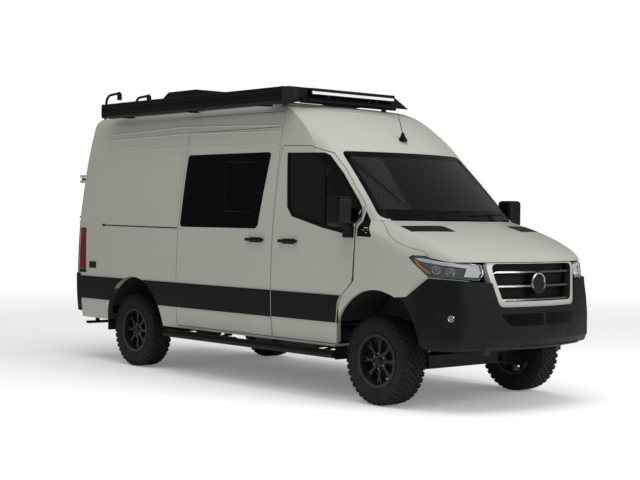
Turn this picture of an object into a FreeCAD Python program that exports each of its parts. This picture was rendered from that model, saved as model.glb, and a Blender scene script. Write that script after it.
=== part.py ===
import FreeCAD, Part
import math
import os

V = FreeCAD.Vector

# Camper van. X points forward, Y to the left, Z up; the origin is on the ground,
# under the middle of the overall length. Lengths are millimetres.

# Overall layout
wheelbase = 3665.0
front_overhang = 1004.0
rear_overhang = 1263.0
x_front = (rear_overhang + wheelbase - front_overhang) / 2.0
x_rear = x_front - wheelbase
x_tail = x_rear - rear_overhang
x_nose = x_front + front_overhang

# Walls and gaps
wall = 60.0
skin_thickness = 26.0
rebate = 14.0
door_gap = 6.0
panel_gap = 5.0
running_gap = 0.3

# Wheels
track = 1716.0
tyre_radius = 375.0
tyre_width = 236.0
rim_radius = 229.0
rim_width = 196.0
rim_wall = 14.0
hub_radius = 78.0
stud_circle = 130.0
stud_count = 6
stud_hole_radius = 8.0
centre_bore_radius = 42.0
spoke_count = 8
spoke_width = 24.0
spoke_depth = 34.0
hub_face = 62.0

# Body section: half width at each height, from sill to roof
sill_height = 455.0
section_points = [(962.0, sill_height), (989.0, 700.0), (992.0, 1000.0), (972.0, 1450.0),
                  (930.0, 1850.0), (885.0, 2180.0), (822.0, 2520.0)]
roof_corner_points = [(790.0, 2586.0), (712.0, 2630.0)]
roof_height = 2668.0

# Side profile of the body: distance ahead of the front axle, height, and the
# share of the plan curve that the point follows
nose_line = [(900.0, sill_height, 1.0), (962.0, 900.0, 1.0), (915.0, 1200.0, 1.0)]
bonnet_line = [(880.0, 1262.0, 1.0), (790.0, 1325.0, 1.0), (640.0, 1395.0, 1.0),
               (400.0, 1475.0, 1.0), (120.0, 1548.0, 1.0)]
screen_line = [(-240.0, 1880.0, 1.0), (-568.0, 2172.0, 1.0)]
forehead_line = [(-702.0, 2288.0, 1.0), (-874.0, 2408.0, 1.0), (-1048.0, 2508.0, 0.95),
                 (-1270.0, 2592.0, 0.8), (-1600.0, 2646.0, 0.4), (-2100.0, roof_height, 0.0)]
rear_top_line = [(-4560.0, 2660.0, 0.0), (-4700.0, 2630.0, 0.0), (-4790.0, 2550.0, 0.0)]
rear_line = [(-4840.0, 1900.0, 0.0), (-4856.0, 1200.0, 0.0), (-4850.0, sill_height, 0.0)]

# Plan curve of the nose and windscreen
screen_sag = 197.0
screen_sag_at = 830.0
corner_from = 790.0
corner_rate = 0.0105
stations = [0.0, 300.0, 560.0, 740.0, 800.0, 860.0, 920.0, 970.0, 1010.0]
rear_corner_radius = 130.0
rear_corner_inside = 70.0

# Doors and windows, seen from the side: distance ahead of the front axle, height
front_door_outline = [(-1370.0, 482.0), (-1382.0, 1400.0), (-1376.0, 2180.0), (-1352.0, 2226.0),
                      (-962.0, 2208.0), (-736.0, 2143.0), (-556.0, 1982.0), (-329.0, 1742.0),
                      (-271.0, 1676.0), (-271.0, 1134.0), (-300.0, 1020.0), (-400.0, 925.0),
                      (-452.0, 850.0), (-470.0, 709.0), (-500.0, 482.0)]
front_glass_outline = [(-1123.0, 1596.0), (-1193.0, 1669.0), (-1276.0, 2156.0), (-800.0, 2146.0),
                       (-688.0, 2105.0), (-532.0, 1975.0), (-300.0, 1706.0), (-300.0, 1446.0),
                       (-342.0, 1440.0), (-706.0, 1500.0)]
slide_door_outline = [(-2885.0, 482.0), (-2880.0, 1450.0), (-2868.0, 2400.0), (-1408.0, 2400.0),
                      (-1396.0, 1450.0), (-1388.0, 482.0)]
slide_glass_outline = [(-2860.0, 1462.0), (-2836.0, 2176.0), (-1518.0, 2172.0), (-1560.0, 1560.0),
                       (-1640.0, 1462.0)]

# Wheel arches
arch_radius = 520.0
front_arch_height = 452.0
rear_arch_height = 411.0
bay_inner = 545.0
front_bay_inner = 505.0
liner_low = 505.0
bulkhead_half = 854.0
house_thickness = 12.0
flap_back = 524.0

# Dark cladding along the side
band_low = 662.0
band_high = 905.0
band_proud = 9.0

# Rear doors
rear_door_low = 740.0
rear_door_high = 2530.0
rear_door_half = 868.0
rear_glass_low = 1500.0
rear_glass_high = 2120.0
rear_glass_inner = 110.0
rear_glass_outer = 770.0

# Hinge axes. The front door's axis leans in with the body side.
door_hinge_ahead = -240.0
door_hinge_low = (950.0, 1050.0)
door_hinge_high = (907.0, 1668.0)
door_hinge_swing = 58.0
door_edge_swing = 62.0
door_edge_clear = 4.5
door_clear_angles = [6.0, 12.0, 18.0, 25.0, 33.0]
door_foot_inner = 908.0
door_hinge_heights = [1080.0, 1320.0]
rear_hinge_ahead = -4872.0
rear_hinge_y = 880.0
rear_hinge_heights = [990.0, 1500.0, 1950.0]
rear_hinge_depth = 16.0
bonnet_hinge_ahead = 36.0
bonnet_hinge_height = 1545.0
bonnet_hinge_y = 690.0
hinge_arm_drop = 80.0
hinge_arm_reach = 112.0
hinge_pin_radius = 9.0
knuckle_height = 30.0

# Windscreen opening, bonnet and nose
screen_half_top = 745.0
screen_half_low = 832.0
screen_low = 1566.0
screen_high = 2165.0
cowl_line = 112.0
side_front = -266.0
cowl_half = 842.0
scuttle_half = 760.0
pillar_foot = -70.0
side_inner = 560.0
roof_joint = 2236.0
glass_set = 4.0
glass_thickness = 6.0
glass_gap = 0.3
window_frame = 34.0
corner_steps = 4
bonnet_outline = [(-300.0, 0.0), (-300.0, cowl_half - 27.0), (-82.0, cowl_half - 27.0),
                  (-78.0, cowl_half - panel_gap), (pillar_foot + panel_gap, cowl_half - panel_gap),
                  (-30.0, 858.0), (95.0, 925.0), (200.0, 938.0), (330.0, 925.0), (470.0, 893.0),
                  (1200.0, 893.0), (1200.0, 0.0)]
diagonal_plane = 600.0
diagonal_back = 640.0
diagonal_ahead = 730.0
lamp_outline = [(-1200.0, 1268.0), (-1160.0, 1284.0), (-1033.0, 1278.0), (-300.0, 1226.0),
                (-190.0, 1042.0), (-384.0, 1056.0), (-967.0, 1100.0), (-1155.0, 1226.0)]
upper_nose_outline = [(-1501.0, 945.0), (-1229.0, 948.0), (-975.0, 1094.0), (-384.0, 1050.0),
                      (-50.0, 1024.0), (-50.0, 1700.0), (-1501.0, 1700.0)]
grille_half_top = 517.0
grille_half_low = 431.0
grille_low = 905.0
grille_high = 1213.0
surround_width = 44.0
surround_proud = 12.0
grille_back = 858.0
surround_back = 880.0
grille_bars = [1143.0, 1028.0, 918.0]
bar_half = 11.0
badge_radius = 92.0
badge_height = 1052.0
bumper_low = 500.0
bumper_line = [(880.0, 500.0), (975.0, 530.0), (1004.0, 590.0), (1002.0, 760.0), (990.0, 900.0),
               (972.0, 1000.0), (952.0, 1140.0)]
bumper_proud = 9.0
bumper_back = 862.0

# Lamps at the rear
lamp_low = 935.0
lamp_strip = 40.0
lamp_high = 1462.0
rear_door_taper = 100.0
rear_step_height = 690.0
rear_step_low = 520.0

# Floor and chassis
floor_height = 640.0
cab_floor_height = 720.0
floor_thickness = 40.0
floor_back = -4780.0
rail_y = 455.0
rail_width = 70.0
rail_height = 130.0
rail_base = 455.0
rail_front = 780.0
rail_back = -4720.0

# Steering, engine and axles
engine_back = 60.0
kingpin_y = -742.0
king_low = 280.0
king_high = 520.0
disc_radius = 150.0
strut_top = 965.0
spring_turns = 6
spring_y = 522.0
spring_width = 60.0
spring_half = 690.0
spring_arch = 60.0
cross_members = [-4680.0, -2700.0, -1200.0, 740.0]
outrigger_end = 905.0
outriggers = [-4500.0, -2900.0, -2150.0, -1420.0, -640.0]

# Rear bumper, ladder and side steps
rear_bumper_front = -4700.0
ladder_ahead = -4908.0
ladder_rails = [-590.0, -200.0]
ladder_tube = 14.0
ladder_bend = 95.0
ladder_top = 2907.0
ladder_feet = [900.0, 1440.0, 2230.0]
rung_pitch = 290.0
step_back = -2981.0
step_front = -423.0
step_y = 1046.0
step_height = 400.0
step_radius = 36.0
step_brackets = [-2900.0, -2150.0, -1420.0, -640.0]

# Roof equipment
rack_pitch = 440.0
awning_brackets = [-4100.0, -2800.0, -1600.0]
fairing_back = -1560.0
fairing_front = -1318.0
fairing_low = 2650.0
roof_unit_base = 2760.0
roof_unit_top = 2930.0
rack_base = 2700.0
rack_height = 60.0
rack_half = 640.0
rack_front = -1560.0
rack_back = -4300.0
fairing_top = 2800.0
awning_front = -1270.0
awning_back = -4330.0
awning_y = 905.0
awning_base = 2610.0
awning_size = 150.0


def ahead(distance):
    """X of a place given as its distance ahead of the front axle."""
    return x_front + distance


def mitre_inset(points, distance):
    """Closed outline, anticlockwise, moved inwards by a distance."""
    moved = []
    count = len(points)
    for index in range(count):
        before = points[index - 1]
        here = points[index]
        after = points[(index + 1) % count]
        first = unit(here[0] - before[0], here[1] - before[1])
        second = unit(after[0] - here[0], after[1] - here[1])
        normal = unit(-first[1] - second[1], first[0] + second[0])
        spread = max(0.35, normal[0] * -first[1] + normal[1] * first[0])
        moved.append((here[0] + normal[0] * distance / spread,
                      here[1] + normal[1] * distance / spread))
    return moved


def unit(x, y):
    length = math.hypot(x, y)
    return (x / length, y / length)


def box(x0, x1, y0, y1, z0, z1):
    return Part.makeBox(x1 - x0, y1 - y0, z1 - z0, V(x0, y0, z0))


def rod(start, end, radius):
    """Round bar from one point to another."""
    line = V(*end) - V(*start)
    return Part.makeCylinder(radius, line.Length, V(*start), line)


def polygon_face(points):
    return Part.Face(Part.makePolygon(points + [points[0]]))


def side_prism(outline, y0, y1):
    """Prism through the side view's outline, between two values of Y."""
    face = polygon_face([V(ahead(x), y0, z) for x, z in outline])
    return face.extrude(V(0, y1 - y0, 0))


def front_prism(outline, x0, x1):
    """Prism through the front view's outline (y, z), between two values of X."""
    face = polygon_face([V(x0, y, z) for y, z in outline])
    return face.extrude(V(x1 - x0, 0, 0))


def plan_prism(outline, z0, z1):
    face = polygon_face([V(ahead(x), y, z0) for x, y in outline])
    return face.extrude(V(0, 0, z1 - z0))


def mirrored(shape):
    return shape.mirror(V(0, 0, 0), V(0, 1, 0))


def both_sides(shape):
    return [shape, mirrored(shape)]


def spline(points):
    curve = Part.BSplineCurve()
    curve.interpolate(points)
    return curve.toShape()


def plan_sag(y):
    """How far the nose and windscreen fall back at a distance from the middle."""
    beyond = max(0.0, abs(y) - corner_from)
    return screen_sag * (y / screen_sag_at) ** 2 + corner_rate * beyond ** 2


def profile_points():
    """Side profile as one closed run, with the number of points in each stretch."""
    groups = [nose_line, bonnet_line, screen_line, forehead_line, rear_top_line, rear_line]
    return [point for group in groups for point in group], [len(group) for group in groups]


def profile_wire(y, inset):
    """Side profile of the body at one distance from the middle."""
    points, counts = profile_points()
    flat = mitre_inset([(x, z) for x, z, share in points], inset)
    placed = [V(ahead(flat[i][0]) - points[i][2] * plan_sag(y), y, flat[i][1])
              for i in range(len(points))]
    nose_end = counts[0]
    bonnet_end = nose_end + counts[1]
    screen_end = bonnet_end + counts[2]
    forehead_end = screen_end + counts[3]
    top_end = forehead_end + counts[4]
    edges = [Part.makeLine(placed[0], placed[1]),
             Part.makeLine(placed[1], placed[2]),
             spline(placed[nose_end - 1:bonnet_end]),
             spline(placed[bonnet_end - 1:screen_end]),
             spline(placed[screen_end - 1:forehead_end]),
             Part.makeLine(placed[forehead_end - 1], placed[forehead_end]),
             spline(placed[forehead_end:top_end]),
             spline(placed[top_end - 1:]),
             Part.makeLine(placed[-1], placed[0])]
    return Part.Wire(edges)


def section_prism(inset):
    """Section of the body across the van, run along its whole length."""
    side = [(y, z) for y, z in section_points]
    corner = [(y, z) for y, z in roof_corner_points]
    right = side + corner + [(0.0, roof_height)]
    loop = right + [(-y, z) for y, z in reversed(side + corner)]
    moved = mitre_inset(loop, inset)
    x0 = x_tail - 50.0
    low = len(side)
    top = len(right)
    at = [V(x0, y, z) for y, z in moved]
    left_start = top + len(corner) - 1
    edges = [spline(at[:low]),
             spline([at[low - 1]] + at[low:low + len(corner)]),
             spline([at[low + len(corner) - 1], at[top - 1], at[top]]),
             spline(at[top:left_start + 2]),
             spline(at[left_start + 1:]),
             Part.makeLine(at[-1], at[0])]
    face = Part.Face(Part.Wire(edges))
    return face.extrude(V(x_nose - x_tail + 100.0, 0, 0))


def envelope(inset):
    """Outer form of the body, or its form a wall's thickness further in."""
    spread = [-y for y in reversed(stations[1:])] + stations
    loft = Part.makeLoft([profile_wire(y, inset) for y in spread], True, False)
    return loft.common(section_prism(inset))


def rounded_rear(shape, radius):
    """The body with its upright rear corners rounded."""
    edges = []
    for edge in shape.Edges:
        low = edge.BoundBox
        if low.ZLength > 300.0 and low.XMax < ahead(-4740.0) and abs(low.YMin + low.YMax) > 1500.0:
            edges.append(edge)
    return shape.makeFillet(radius, edges)


def grown(outline, distance):
    """Outline made larger, or smaller for a value under zero."""
    area = sum(outline[i - 1][0] * outline[i][1] - outline[i][0] * outline[i - 1][1]
               for i in range(len(outline)))
    points = outline if area > 0 else list(reversed(outline))
    return mitre_inset(points, -distance)


def keep_large(shape, least=2000.0):
    """The solids of a shape, leaving out slivers that a cut left behind."""
    return [solid for solid in shape.Solids if solid.Volume > least]


def layers():
    """The body as nested forms: skin, door inner layer and cabin."""
    outer = rounded_rear(envelope(0.0), rear_corner_radius)
    middle = rounded_rear(envelope(skin_thickness), rear_corner_inside)
    inner = envelope(wall)
    return outer, middle, inner


def stepped_panel(outline, forms, side):
    """Door leaf: a full skin, with its inner layer a rebate smaller all round."""
    y0, y1 = side
    skin = forms.skin.common(side_prism(outline, y0, y1))
    lining = forms.lining.common(side_prism(grown(outline, -rebate), y0, y1))
    return skin.fuse(lining)


def main_solid(shape):
    return max(shape.Solids, key=lambda solid: solid.Volume)


def export(name, solids):
    shape = solids[0] if len(solids) == 1 else Part.makeCompound(solids)
    shape.exportStep("parts/" + name + ".step")
    volume = sum(solid.Volume for solid in solids)
    print("%-24s solids %d volume %.0f valid %s" % (name, len(shape.Solids), volume, shape.isValid()))


def swept_prism(outline):
    """Block whose side outline follows the plan curve of the nose and windscreen."""
    wires = []
    for y in [-y for y in reversed(stations[1:])] + stations:
        points = [V(ahead(x) - plan_sag(y), y, z) for x, z in outline]
        wires.append(Part.makePolygon(points + [points[0]]))
    return Part.makeLoft(wires, True, False)


def diagonal_prism(outline, lift):
    """Prism cut along the diagonal of the nose's right corner, from (y, z) on a cross plane."""
    direction = V(0.70, -0.713, lift)
    start = V(ahead(diagonal_plane), 0, 0) - direction * diagonal_back
    face = polygon_face([V(0, y, z) + start for y, z in outline])
    return face.extrude(direction * (diagonal_back + diagonal_ahead))


def sided(shape):
    """A shape of the right side together with its mirror image."""
    return shape.fuse(mirrored(shape))


def rounded_outline(points, radius):
    """Closed outline with its corners cut to short arcs of a radius, as points."""
    result = []
    count = len(points)
    for index in range(count):
        before = points[index - 1]
        here = points[index]
        after = points[(index + 1) % count]
        back = unit(before[0] - here[0], before[1] - here[1])
        forth = unit(after[0] - here[0], after[1] - here[1])
        turn = math.acos(max(-1.0, min(1.0, back[0] * forth[0] + back[1] * forth[1])))
        reach = radius / math.tan(turn / 2.0)
        limit = 0.45 * min(math.dist(before, here), math.dist(after, here))
        reach = min(reach, limit)
        for step in range(corner_steps + 1):
            share = step / corner_steps
            a = (1 - share) ** 2
            b = 2 * share * (1 - share)
            c = share ** 2
            result.append((a * (here[0] + back[0] * reach) + b * here[0] + c * (here[0] + forth[0] * reach),
                           a * (here[1] + back[1] * reach) + b * here[1] + c * (here[1] + forth[1] * reach)))
    return result


class Forms:
    """Nested forms of the body that the panels are cut from."""

    def __init__(self):
        self.outer, self.middle, self.inner = layers()
        self.skin = self.outer.cut(self.middle)
        self.lining = self.middle.cut(self.inner)
        self.shell = self.outer.cut(self.inner)
        glass_front = envelope(glass_set)
        self.glass = glass_front.cut(envelope(glass_set + glass_thickness))
        self.outer_proud = rounded_rear(envelope(-band_proud), rear_corner_radius)
        belt = box(x_tail - 50, ahead(0.0), -1100, -500, band_low, band_high)
        self.proud = self.outer_proud.common(belt).cut(self.outer)
        self.inner_clear = envelope(wall + running_gap)


def arch_cut(x, height, radius):
    """Round cut for both wheel arches of an axle, through the body sides."""
    cutter = Part.makeCylinder(radius, 2400.0, V(x, -1200.0, height), V(0, 1, 0))
    return cutter.cut(box(x - 900, x + 900, -side_inner, side_inner, 0.0, 3000.0))


def front_screen_outline():
    half_top = screen_half_top
    half_low = screen_half_low
    return rounded_outline([(-half_low, screen_low), (half_low, screen_low),
                            (half_top, screen_high), (-half_top, screen_high)], 55.0)


def make_roof(forms):
    above = box(x_tail - 50, x_nose, -1100, 1100, roof_joint, 3000)
    header = box(ahead(-1000.0), x_nose, -side_inner, side_inner, screen_high - 100.0, roof_joint)
    roof = forms.shell.common(above.fuse(header).removeSplitter())
    roof = roof.cut(front_prism(front_screen_outline(), ahead(-1200), x_nose + 100))
    roof = roof.cut(rear_opening())
    for cut in [side_prism(grown(slide_door_outline, panel_gap), -1200.0, -500.0)]:
        roof = roof.cut(cut)
    for cut in both_sides(side_prism(grown(front_door_outline, door_gap), -1200.0, -500.0)):
        roof = roof.cut(cut)
    return keep_large(roof)


def rear_opening():
    """Opening behind both rear doors, larger than them by their gap."""
    half = rear_door_half + door_gap
    outline = rounded_outline([(-half, rear_door_low - door_gap), (half, rear_door_low - door_gap),
                               (half - rear_door_taper, rear_door_high + door_gap),
                               (-half + rear_door_taper, rear_door_high + door_gap)], 60.0)
    return front_prism(outline, x_tail - 60.0, ahead(-4600.0))


def tail_lamp_block():
    return box(x_tail - 50, ahead(-4742.0), -1100, -rear_door_half - lamp_strip, lamp_low, lamp_high)


def make_side(forms, right):
    """One whole body side below the roof joint, with its pillars and sill."""
    below = box(x_tail - 50, x_nose, -1100, -side_inner, sill_height - 5, roof_joint)
    side = forms.shell.common(below)
    side = side.cut(side_prism(grown(front_door_outline, door_gap), -1200.0, -500.0))
    if right:
        side = side.cut(side_prism(grown(slide_door_outline, panel_gap), -1200.0, -500.0))
    else:
        side = side.cut(side_window(0.0))
    side = side.cut(arch_cut(x_rear, rear_arch_height, arch_radius))
    side = side.cut(arch_cut(x_front, front_arch_height, arch_radius))
    side = side.cut(front_prism(front_screen_outline(), ahead(-1200), x_nose + 100))
    side = side.cut(rear_opening())
    side = side.cut(tail_lamp_block())
    side = side.cut(nose_front())
    side = side.cut(box(ahead(-400.0), x_nose, -scuttle_half, scuttle_half, 1300.0, screen_low + 2.0))
    for path in door_paths():
        side = side.cut(path)
    side = side.cut(box(x_tail - 50, ahead(rear_bumper_front), -1200, 1200, 0, lamp_low - 3.0))
    solids = keep_large(side, 200000.0)
    return solids if right else [mirrored(solid) for solid in solids]


def side_window(gap):
    """Space of the large side window, in the sliding door and in the left side."""
    return side_prism(grown(rounded_outline(slide_glass_outline, 45.0), -gap), -1200.0, -500.0)


def nose_front():
    """The part of the body that wings, bonnet, lamps and bumper make."""
    upper = swept_prism([(cowl_line, 400.0), (cowl_line, 1800.0), (1400.0, 1800.0), (1400.0, 400.0)])
    upper = upper.common(box(-9000, 9000, -cowl_half, cowl_half, 0, 3000))
    shoulders = box(ahead(pillar_foot), x_nose + 200, -1200, 1200, 400, 1800)
    upper = upper.fuse(shoulders.cut(box(-9000, 9000, -cowl_half, cowl_half, 0, 3000)))
    middle = box(ahead(side_front), x_nose + 200, -1200, 1200, 400, 1395)
    lower = box(ahead(-505.0), x_nose + 200, -1200, 1200, 400, 1030)
    return upper.fuse([middle, lower])


def bonnet_region():
    half = bonnet_outline
    outline = half + [(x, -y) for x, y in reversed(half)]
    plan = plan_prism(outline, 1100.0, 1800.0)
    above = side_prism([(-400.0, 1300.0), (-400.0, 1800.0), (1200.0, 1800.0), (1200.0, 1224.0),
                        (700.0, 1224.0), (445.0, 1276.0), (445.0, 1150.0), (200.0, 1150.0)], -1200, 1200)
    swept = swept_prism([(cowl_line + panel_gap, 1000.0), (cowl_line + panel_gap, 1800.0),
                         (1400.0, 1800.0), (1400.0, 1000.0)])
    return plan.common(above).common(swept)


def surround_outline(margin):
    half_top = grille_half_top + margin
    half_low = grille_half_low + margin
    return rounded_outline([(-half_low, grille_low - margin), (half_low, grille_low - margin),
                            (half_top, grille_high + margin * 0.3), (-half_top, grille_high + margin * 0.3)],
                           55.0)


def bumper_region():
    """Space below the line that joins wheel arch, lamps and grille surround."""
    space = box(ahead(200.0), x_nose + 100, -1200, 1200, bumper_low, 1140.0)
    space = space.cut(sided(diagonal_prism(upper_nose_outline, 0.045)))
    space = space.cut(front_prism(surround_outline(surround_width), ahead(500.0), x_nose + 200))
    space = space.cut(arch_cut(x_front, front_arch_height, arch_radius))
    return space


def make_front(forms):
    """Wings, bonnet and lamps, cut from the skin along their shut lines."""
    bonnet = bonnet_region()
    lamp_cut = sided(diagonal_prism(lamp_outline, 0.035))
    surround_cut = front_prism(surround_outline(surround_width), ahead(500.0), x_nose + 200)
    bumper_cut = bumper_region()
    ahead_of_doors = nose_front()
    wings = forms.skin.common(ahead_of_doors)
    for cut in [bonnet_clearance(), lamp_cut, surround_cut, bumper_cut,
                arch_cut(x_front, front_arch_height, arch_radius),
                box(ahead(200.0), x_nose + 100, -1200, 1200, 0, bumper_low + 400.0)]:
        wings = wings.cut(cut)
    for cut in both_sides(side_prism(grown(front_door_outline, door_gap), -1200.0, -500.0)):
        wings = wings.cut(cut)
    for path in door_paths():
        wings = wings.cut(path).cut(mirrored(path))
    wings = wings.cut(box(ahead(-1000.0), x_nose + 100, -700, 700, 0, 1224.0))
    lid = forms.skin.common(bonnet)
    lamps = forms.skin.common(lamp_cut).cut(bonnet_clearance()).cut(surround_cut)
    return wings, lid, lamps


def bonnet_clearance():
    half = [(x, y + panel_gap) for x, y in bonnet_outline]
    outline = half + [(x, -y) for x, y in reversed(half)]
    plan = plan_prism(outline, 1100.0, 1800.0)
    above = side_prism([(-400.0, 1300.0), (-400.0, 1800.0), (1200.0, 1800.0), (1200.0, 1219.0),
                        (700.0, 1219.0), (440.0, 1271.0), (440.0, 1150.0), (200.0, 1150.0)], -1200, 1200)
    swept = swept_prism([(cowl_line, 1000.0), (cowl_line, 1800.0), (1400.0, 1800.0), (1400.0, 1000.0)])
    return plan.common(above).common(swept)


def plan_block(x, z0, z1):
    """Upright block whose front follows the plan curve of the nose."""
    front = [V(ahead(x) - plan_sag(y), y, z0) for y in [-y for y in reversed(stations[1:])] + stations]
    back = ahead(-600.0)
    corners = [front[-1], V(back, front[-1].y, z0), V(back, front[0].y, z0), front[0]]
    wire = Part.Wire([spline(front), Part.makePolygon(corners)])
    return Part.Face(wire).extrude(V(0, 0, z1 - z0))


def make_bumper():
    """Front bumper shell, proud of the body all round and open at its back and below."""
    top = bumper_line[-1][1]
    swept = swept_prism([(-200.0, bumper_low)] + bumper_line + [(-200.0, top)])
    shell = swept.common(section_prism(-bumper_proud))
    shell = shell.common(box(ahead(200.0), x_nose + 100, -1200, 1200, bumper_low - 60, top + 60))
    lamps = diagonal_prism(upper_nose_outline, 0.045)
    hollow = plan_block(bumper_back, bumper_low - 50.0, top + 50.0).common(section_prism(skin_thickness))
    for cut in [lamps, mirrored(lamps),
                front_prism(surround_outline(surround_width), ahead(500.0), x_nose + 200),
                arch_cut(x_front, front_arch_height, arch_radius), hollow]:
        shell = shell.cut(cut)
    return main_solid(shell)


def nose_block(inset):
    """Space behind the upright front of the nose, less a depth from its surface."""
    line = [(x - inset, z) for x, z, share in nose_line[1:] + bonnet_line[:1]]
    low = line[0][1] - 60.0
    return swept_prism([(300.0, low), (line[0][0], low)] + line + [(300.0, line[-1][1])])


def make_grille():
    """Body-coloured surround and the dark grille with its bars."""
    ring = front_prism(surround_outline(surround_width), ahead(500.0), x_nose + 200)
    opening = front_prism(surround_outline(0.0), ahead(400.0), x_nose + 300)
    low = grille_low - 100.0
    high = grille_high + 100.0
    surround = nose_block(-surround_proud).common(ring.cut(opening))
    surround = surround.cut(plan_block(surround_back, low, high)).cut(bonnet_clearance())
    recess = plan_block(grille_back, low, high)
    plate = recess.cut(plan_block(grille_back - 14.0, low - 10.0, high + 10.0)).common(opening)
    fill = nose_block(6.0).common(opening)
    pieces = []
    for height in grille_bars:
        band = box(ahead(500.0), x_nose + 100, -700, 700, height - bar_half, height + bar_half)
        pieces.append(fill.common(band).cut(plan_block(grille_back - 4.0, low, high)))
    badge = Part.makeCylinder(badge_radius, 160.0, V(ahead(grille_back - 40.0), 0, badge_height), V(1, 0, 0))
    pieces.append(badge.common(fill).cut(plan_block(grille_back - 7.0, low, high)))
    return keep_large(surround, 50000.0), [main_solid(plate.fuse(pieces))]


def hinge_direction():
    low = V(0, -door_hinge_low[0], door_hinge_low[1])
    high = V(0, -door_hinge_high[0], door_hinge_high[1])
    return (high - low).normalize()


def hinge_point(height):
    """Point on the right front door's hinge axis at a height."""
    direction = hinge_direction()
    base = V(ahead(door_hinge_ahead), -door_hinge_low[0], door_hinge_low[1])
    return base + direction * ((height - door_hinge_low[1]) / direction.z)


def hinge_cylinder(radius, low, high):
    start = hinge_point(low)
    end = hinge_point(high)
    return Part.makeCylinder(radius, (end - start).Length, start, hinge_direction())


def front_window(gap):
    """Space of the front door's window, inside the door's frame."""
    frame = side_prism(grown(front_door_outline, -window_frame - gap), -1200.0, -500.0)
    return side_prism(grown(rounded_outline(front_glass_outline, 40.0), -gap), -1200.0, -500.0).common(frame)


def make_front_door(forms):
    """Right front door: leaf with its window cut, and its two hinge arms."""
    leaf = stepped_panel(front_door_outline, forms, (-1200.0, -500.0)).cut(below_floor())
    leaf = leaf.cut(hinge_cylinder(door_edge_swing, 600.0, 1800.0))
    door = main_solid(leaf.cut(front_window(0.0)))
    for height in door_hinge_heights:
        door = door.fuse(hinge_arm(height))
    glass = main_solid(forms.glass.common(front_window(glass_gap)))
    return main_solid(door), glass


def below_floor():
    """Space inside the door leaves, under the floor's edge."""
    return box(x_tail, x_nose, -door_foot_inner, 0.0, 400.0, floor_height - floor_thickness)


def door_paths():
    """Places that the right front door's leading edge and hinge arms pass while it opens."""
    path = side_prism(grown(front_door_outline, door_gap), -995.0, -900.0)
    path = path.common(box(ahead(-480.0), ahead(-200.0), -1100.0, -800.0, 880.0, 1600.0))
    path = path.cut(hinge_cylinder(door_edge_swing - door_edge_clear, 800.0, 1700.0))
    base = hinge_point(door_hinge_low[1])
    turned = [box(base.x - 90.0, ahead(side_front), -990.0, -860.0, height - 17.0, height + 19.0)
              for height in door_hinge_heights]
    for angle in door_clear_angles:
        copy = path.copy()
        copy.rotate(base, hinge_direction(), angle)
        turned.append(copy)
    return turned


def hinge_arm(height):
    """Pin and curved arm that carry a front door past the wing's edge."""
    pin = hinge_cylinder(hinge_pin_radius, height - knuckle_height, height + knuckle_height)
    ring = hinge_cylinder(door_hinge_swing + 14.0, height - 12.0, height + 12.0)
    ring = ring.cut(hinge_cylinder(door_hinge_swing, height - 20.0, height + 20.0))
    centre = hinge_point(height)
    keep = box(centre.x - 80, centre.x, centre.y + 4, centre.y + 80, height - 40, height + 40)
    stub = box(centre.x - 14, centre.x + 6, centre.y, centre.y + door_hinge_swing + 8, height - 12,
               height + 12)
    return pin.fuse([ring.common(keep), stub])


def hinge_pillar():
    """Pillar ahead of the right front door, with an eye round each hinge pin."""
    low = door_hinge_heights[0] - 90.0
    pillar = box(ahead(door_hinge_ahead + 34.0), ahead(door_hinge_ahead + 90.0), -940.0, -880.0,
                 low, 1402.0)
    for height in door_hinge_heights:
        for side in (-1, 1):
            middle = height + side * (knuckle_height - 7.0)
            centre = hinge_point(middle)
            eye = hinge_cylinder(hinge_pin_radius + 5.0, middle - 7.0, middle + 7.0)
            web = box(centre.x, ahead(door_hinge_ahead + 40.0), centre.y - 6, centre.y + 16,
                      middle - 6.0, middle + 6.0)
            pillar = pillar.fuse(eye.fuse(web))
        pillar = pillar.cut(hinge_cylinder(hinge_pin_radius + running_gap, height - 60.0, height + 60.0))
    return pillar


def make_slide_door(forms):
    leaf = stepped_panel(slide_door_outline, forms, (-1200.0, -500.0)).cut(below_floor())
    leaf = main_solid(leaf.cut(side_window(0.0)).cut(arch_cut(x_rear, rear_arch_height, arch_radius)))
    guide = side_guide(0.0).common(forms.outer)
    glass = main_solid(forms.glass.common(side_window(glass_gap)))
    return main_solid(leaf.fuse(guide)), glass


def side_guide(clearance):
    """Carriage that holds the sliding door in the rail along the rear quarter."""
    return box(ahead(-2960.0) - clearance, ahead(-2860.0), -1100.0, -940.0, 1452.0 - clearance,
               1468.0 + clearance)


def make_rear_door(forms):
    """Right rear door with its window cut and the knuckles of its hinges."""
    def leaf_outline(shrink):
        half = rear_door_half - shrink
        return rounded_outline([(-half, rear_door_low + shrink), (-3.0 - shrink, rear_door_low + shrink),
                                (-3.0 - shrink, rear_door_high - shrink),
                                (-half + rear_door_taper, rear_door_high - shrink)], 55.0)
    skin = forms.skin.common(front_prism(leaf_outline(0.0), x_tail - 60, ahead(-4600)))
    lining = forms.lining.common(front_prism(leaf_outline(rebate), x_tail - 60, ahead(-4600)))
    door = main_solid(skin.fuse(lining).cut(rear_window(0.0)))
    for height in rear_hinge_heights:
        door = door.fuse(rear_knuckle(height, -1.0, forms))
    glass = main_solid(forms.glass.common(rear_window(glass_gap)))
    return main_solid(door), glass


def rear_window(gap):
    """Space of the right rear door's window."""
    outline = rounded_outline([(-rear_glass_outer, rear_glass_low), (-rear_glass_inner, rear_glass_low),
                               (-rear_glass_inner, rear_glass_high),
                               (-rear_glass_outer + 55.0, rear_glass_high)], 55.0)
    return front_prism(grown(outline, -gap), x_tail - 60, ahead(-4600))


def rear_door_edge(height):
    """Distance from the middle to a rear door's outer edge at a height."""
    share = (height - rear_door_low) / (rear_door_high - rear_door_low)
    return rear_door_half - rear_door_taper * share


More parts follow.
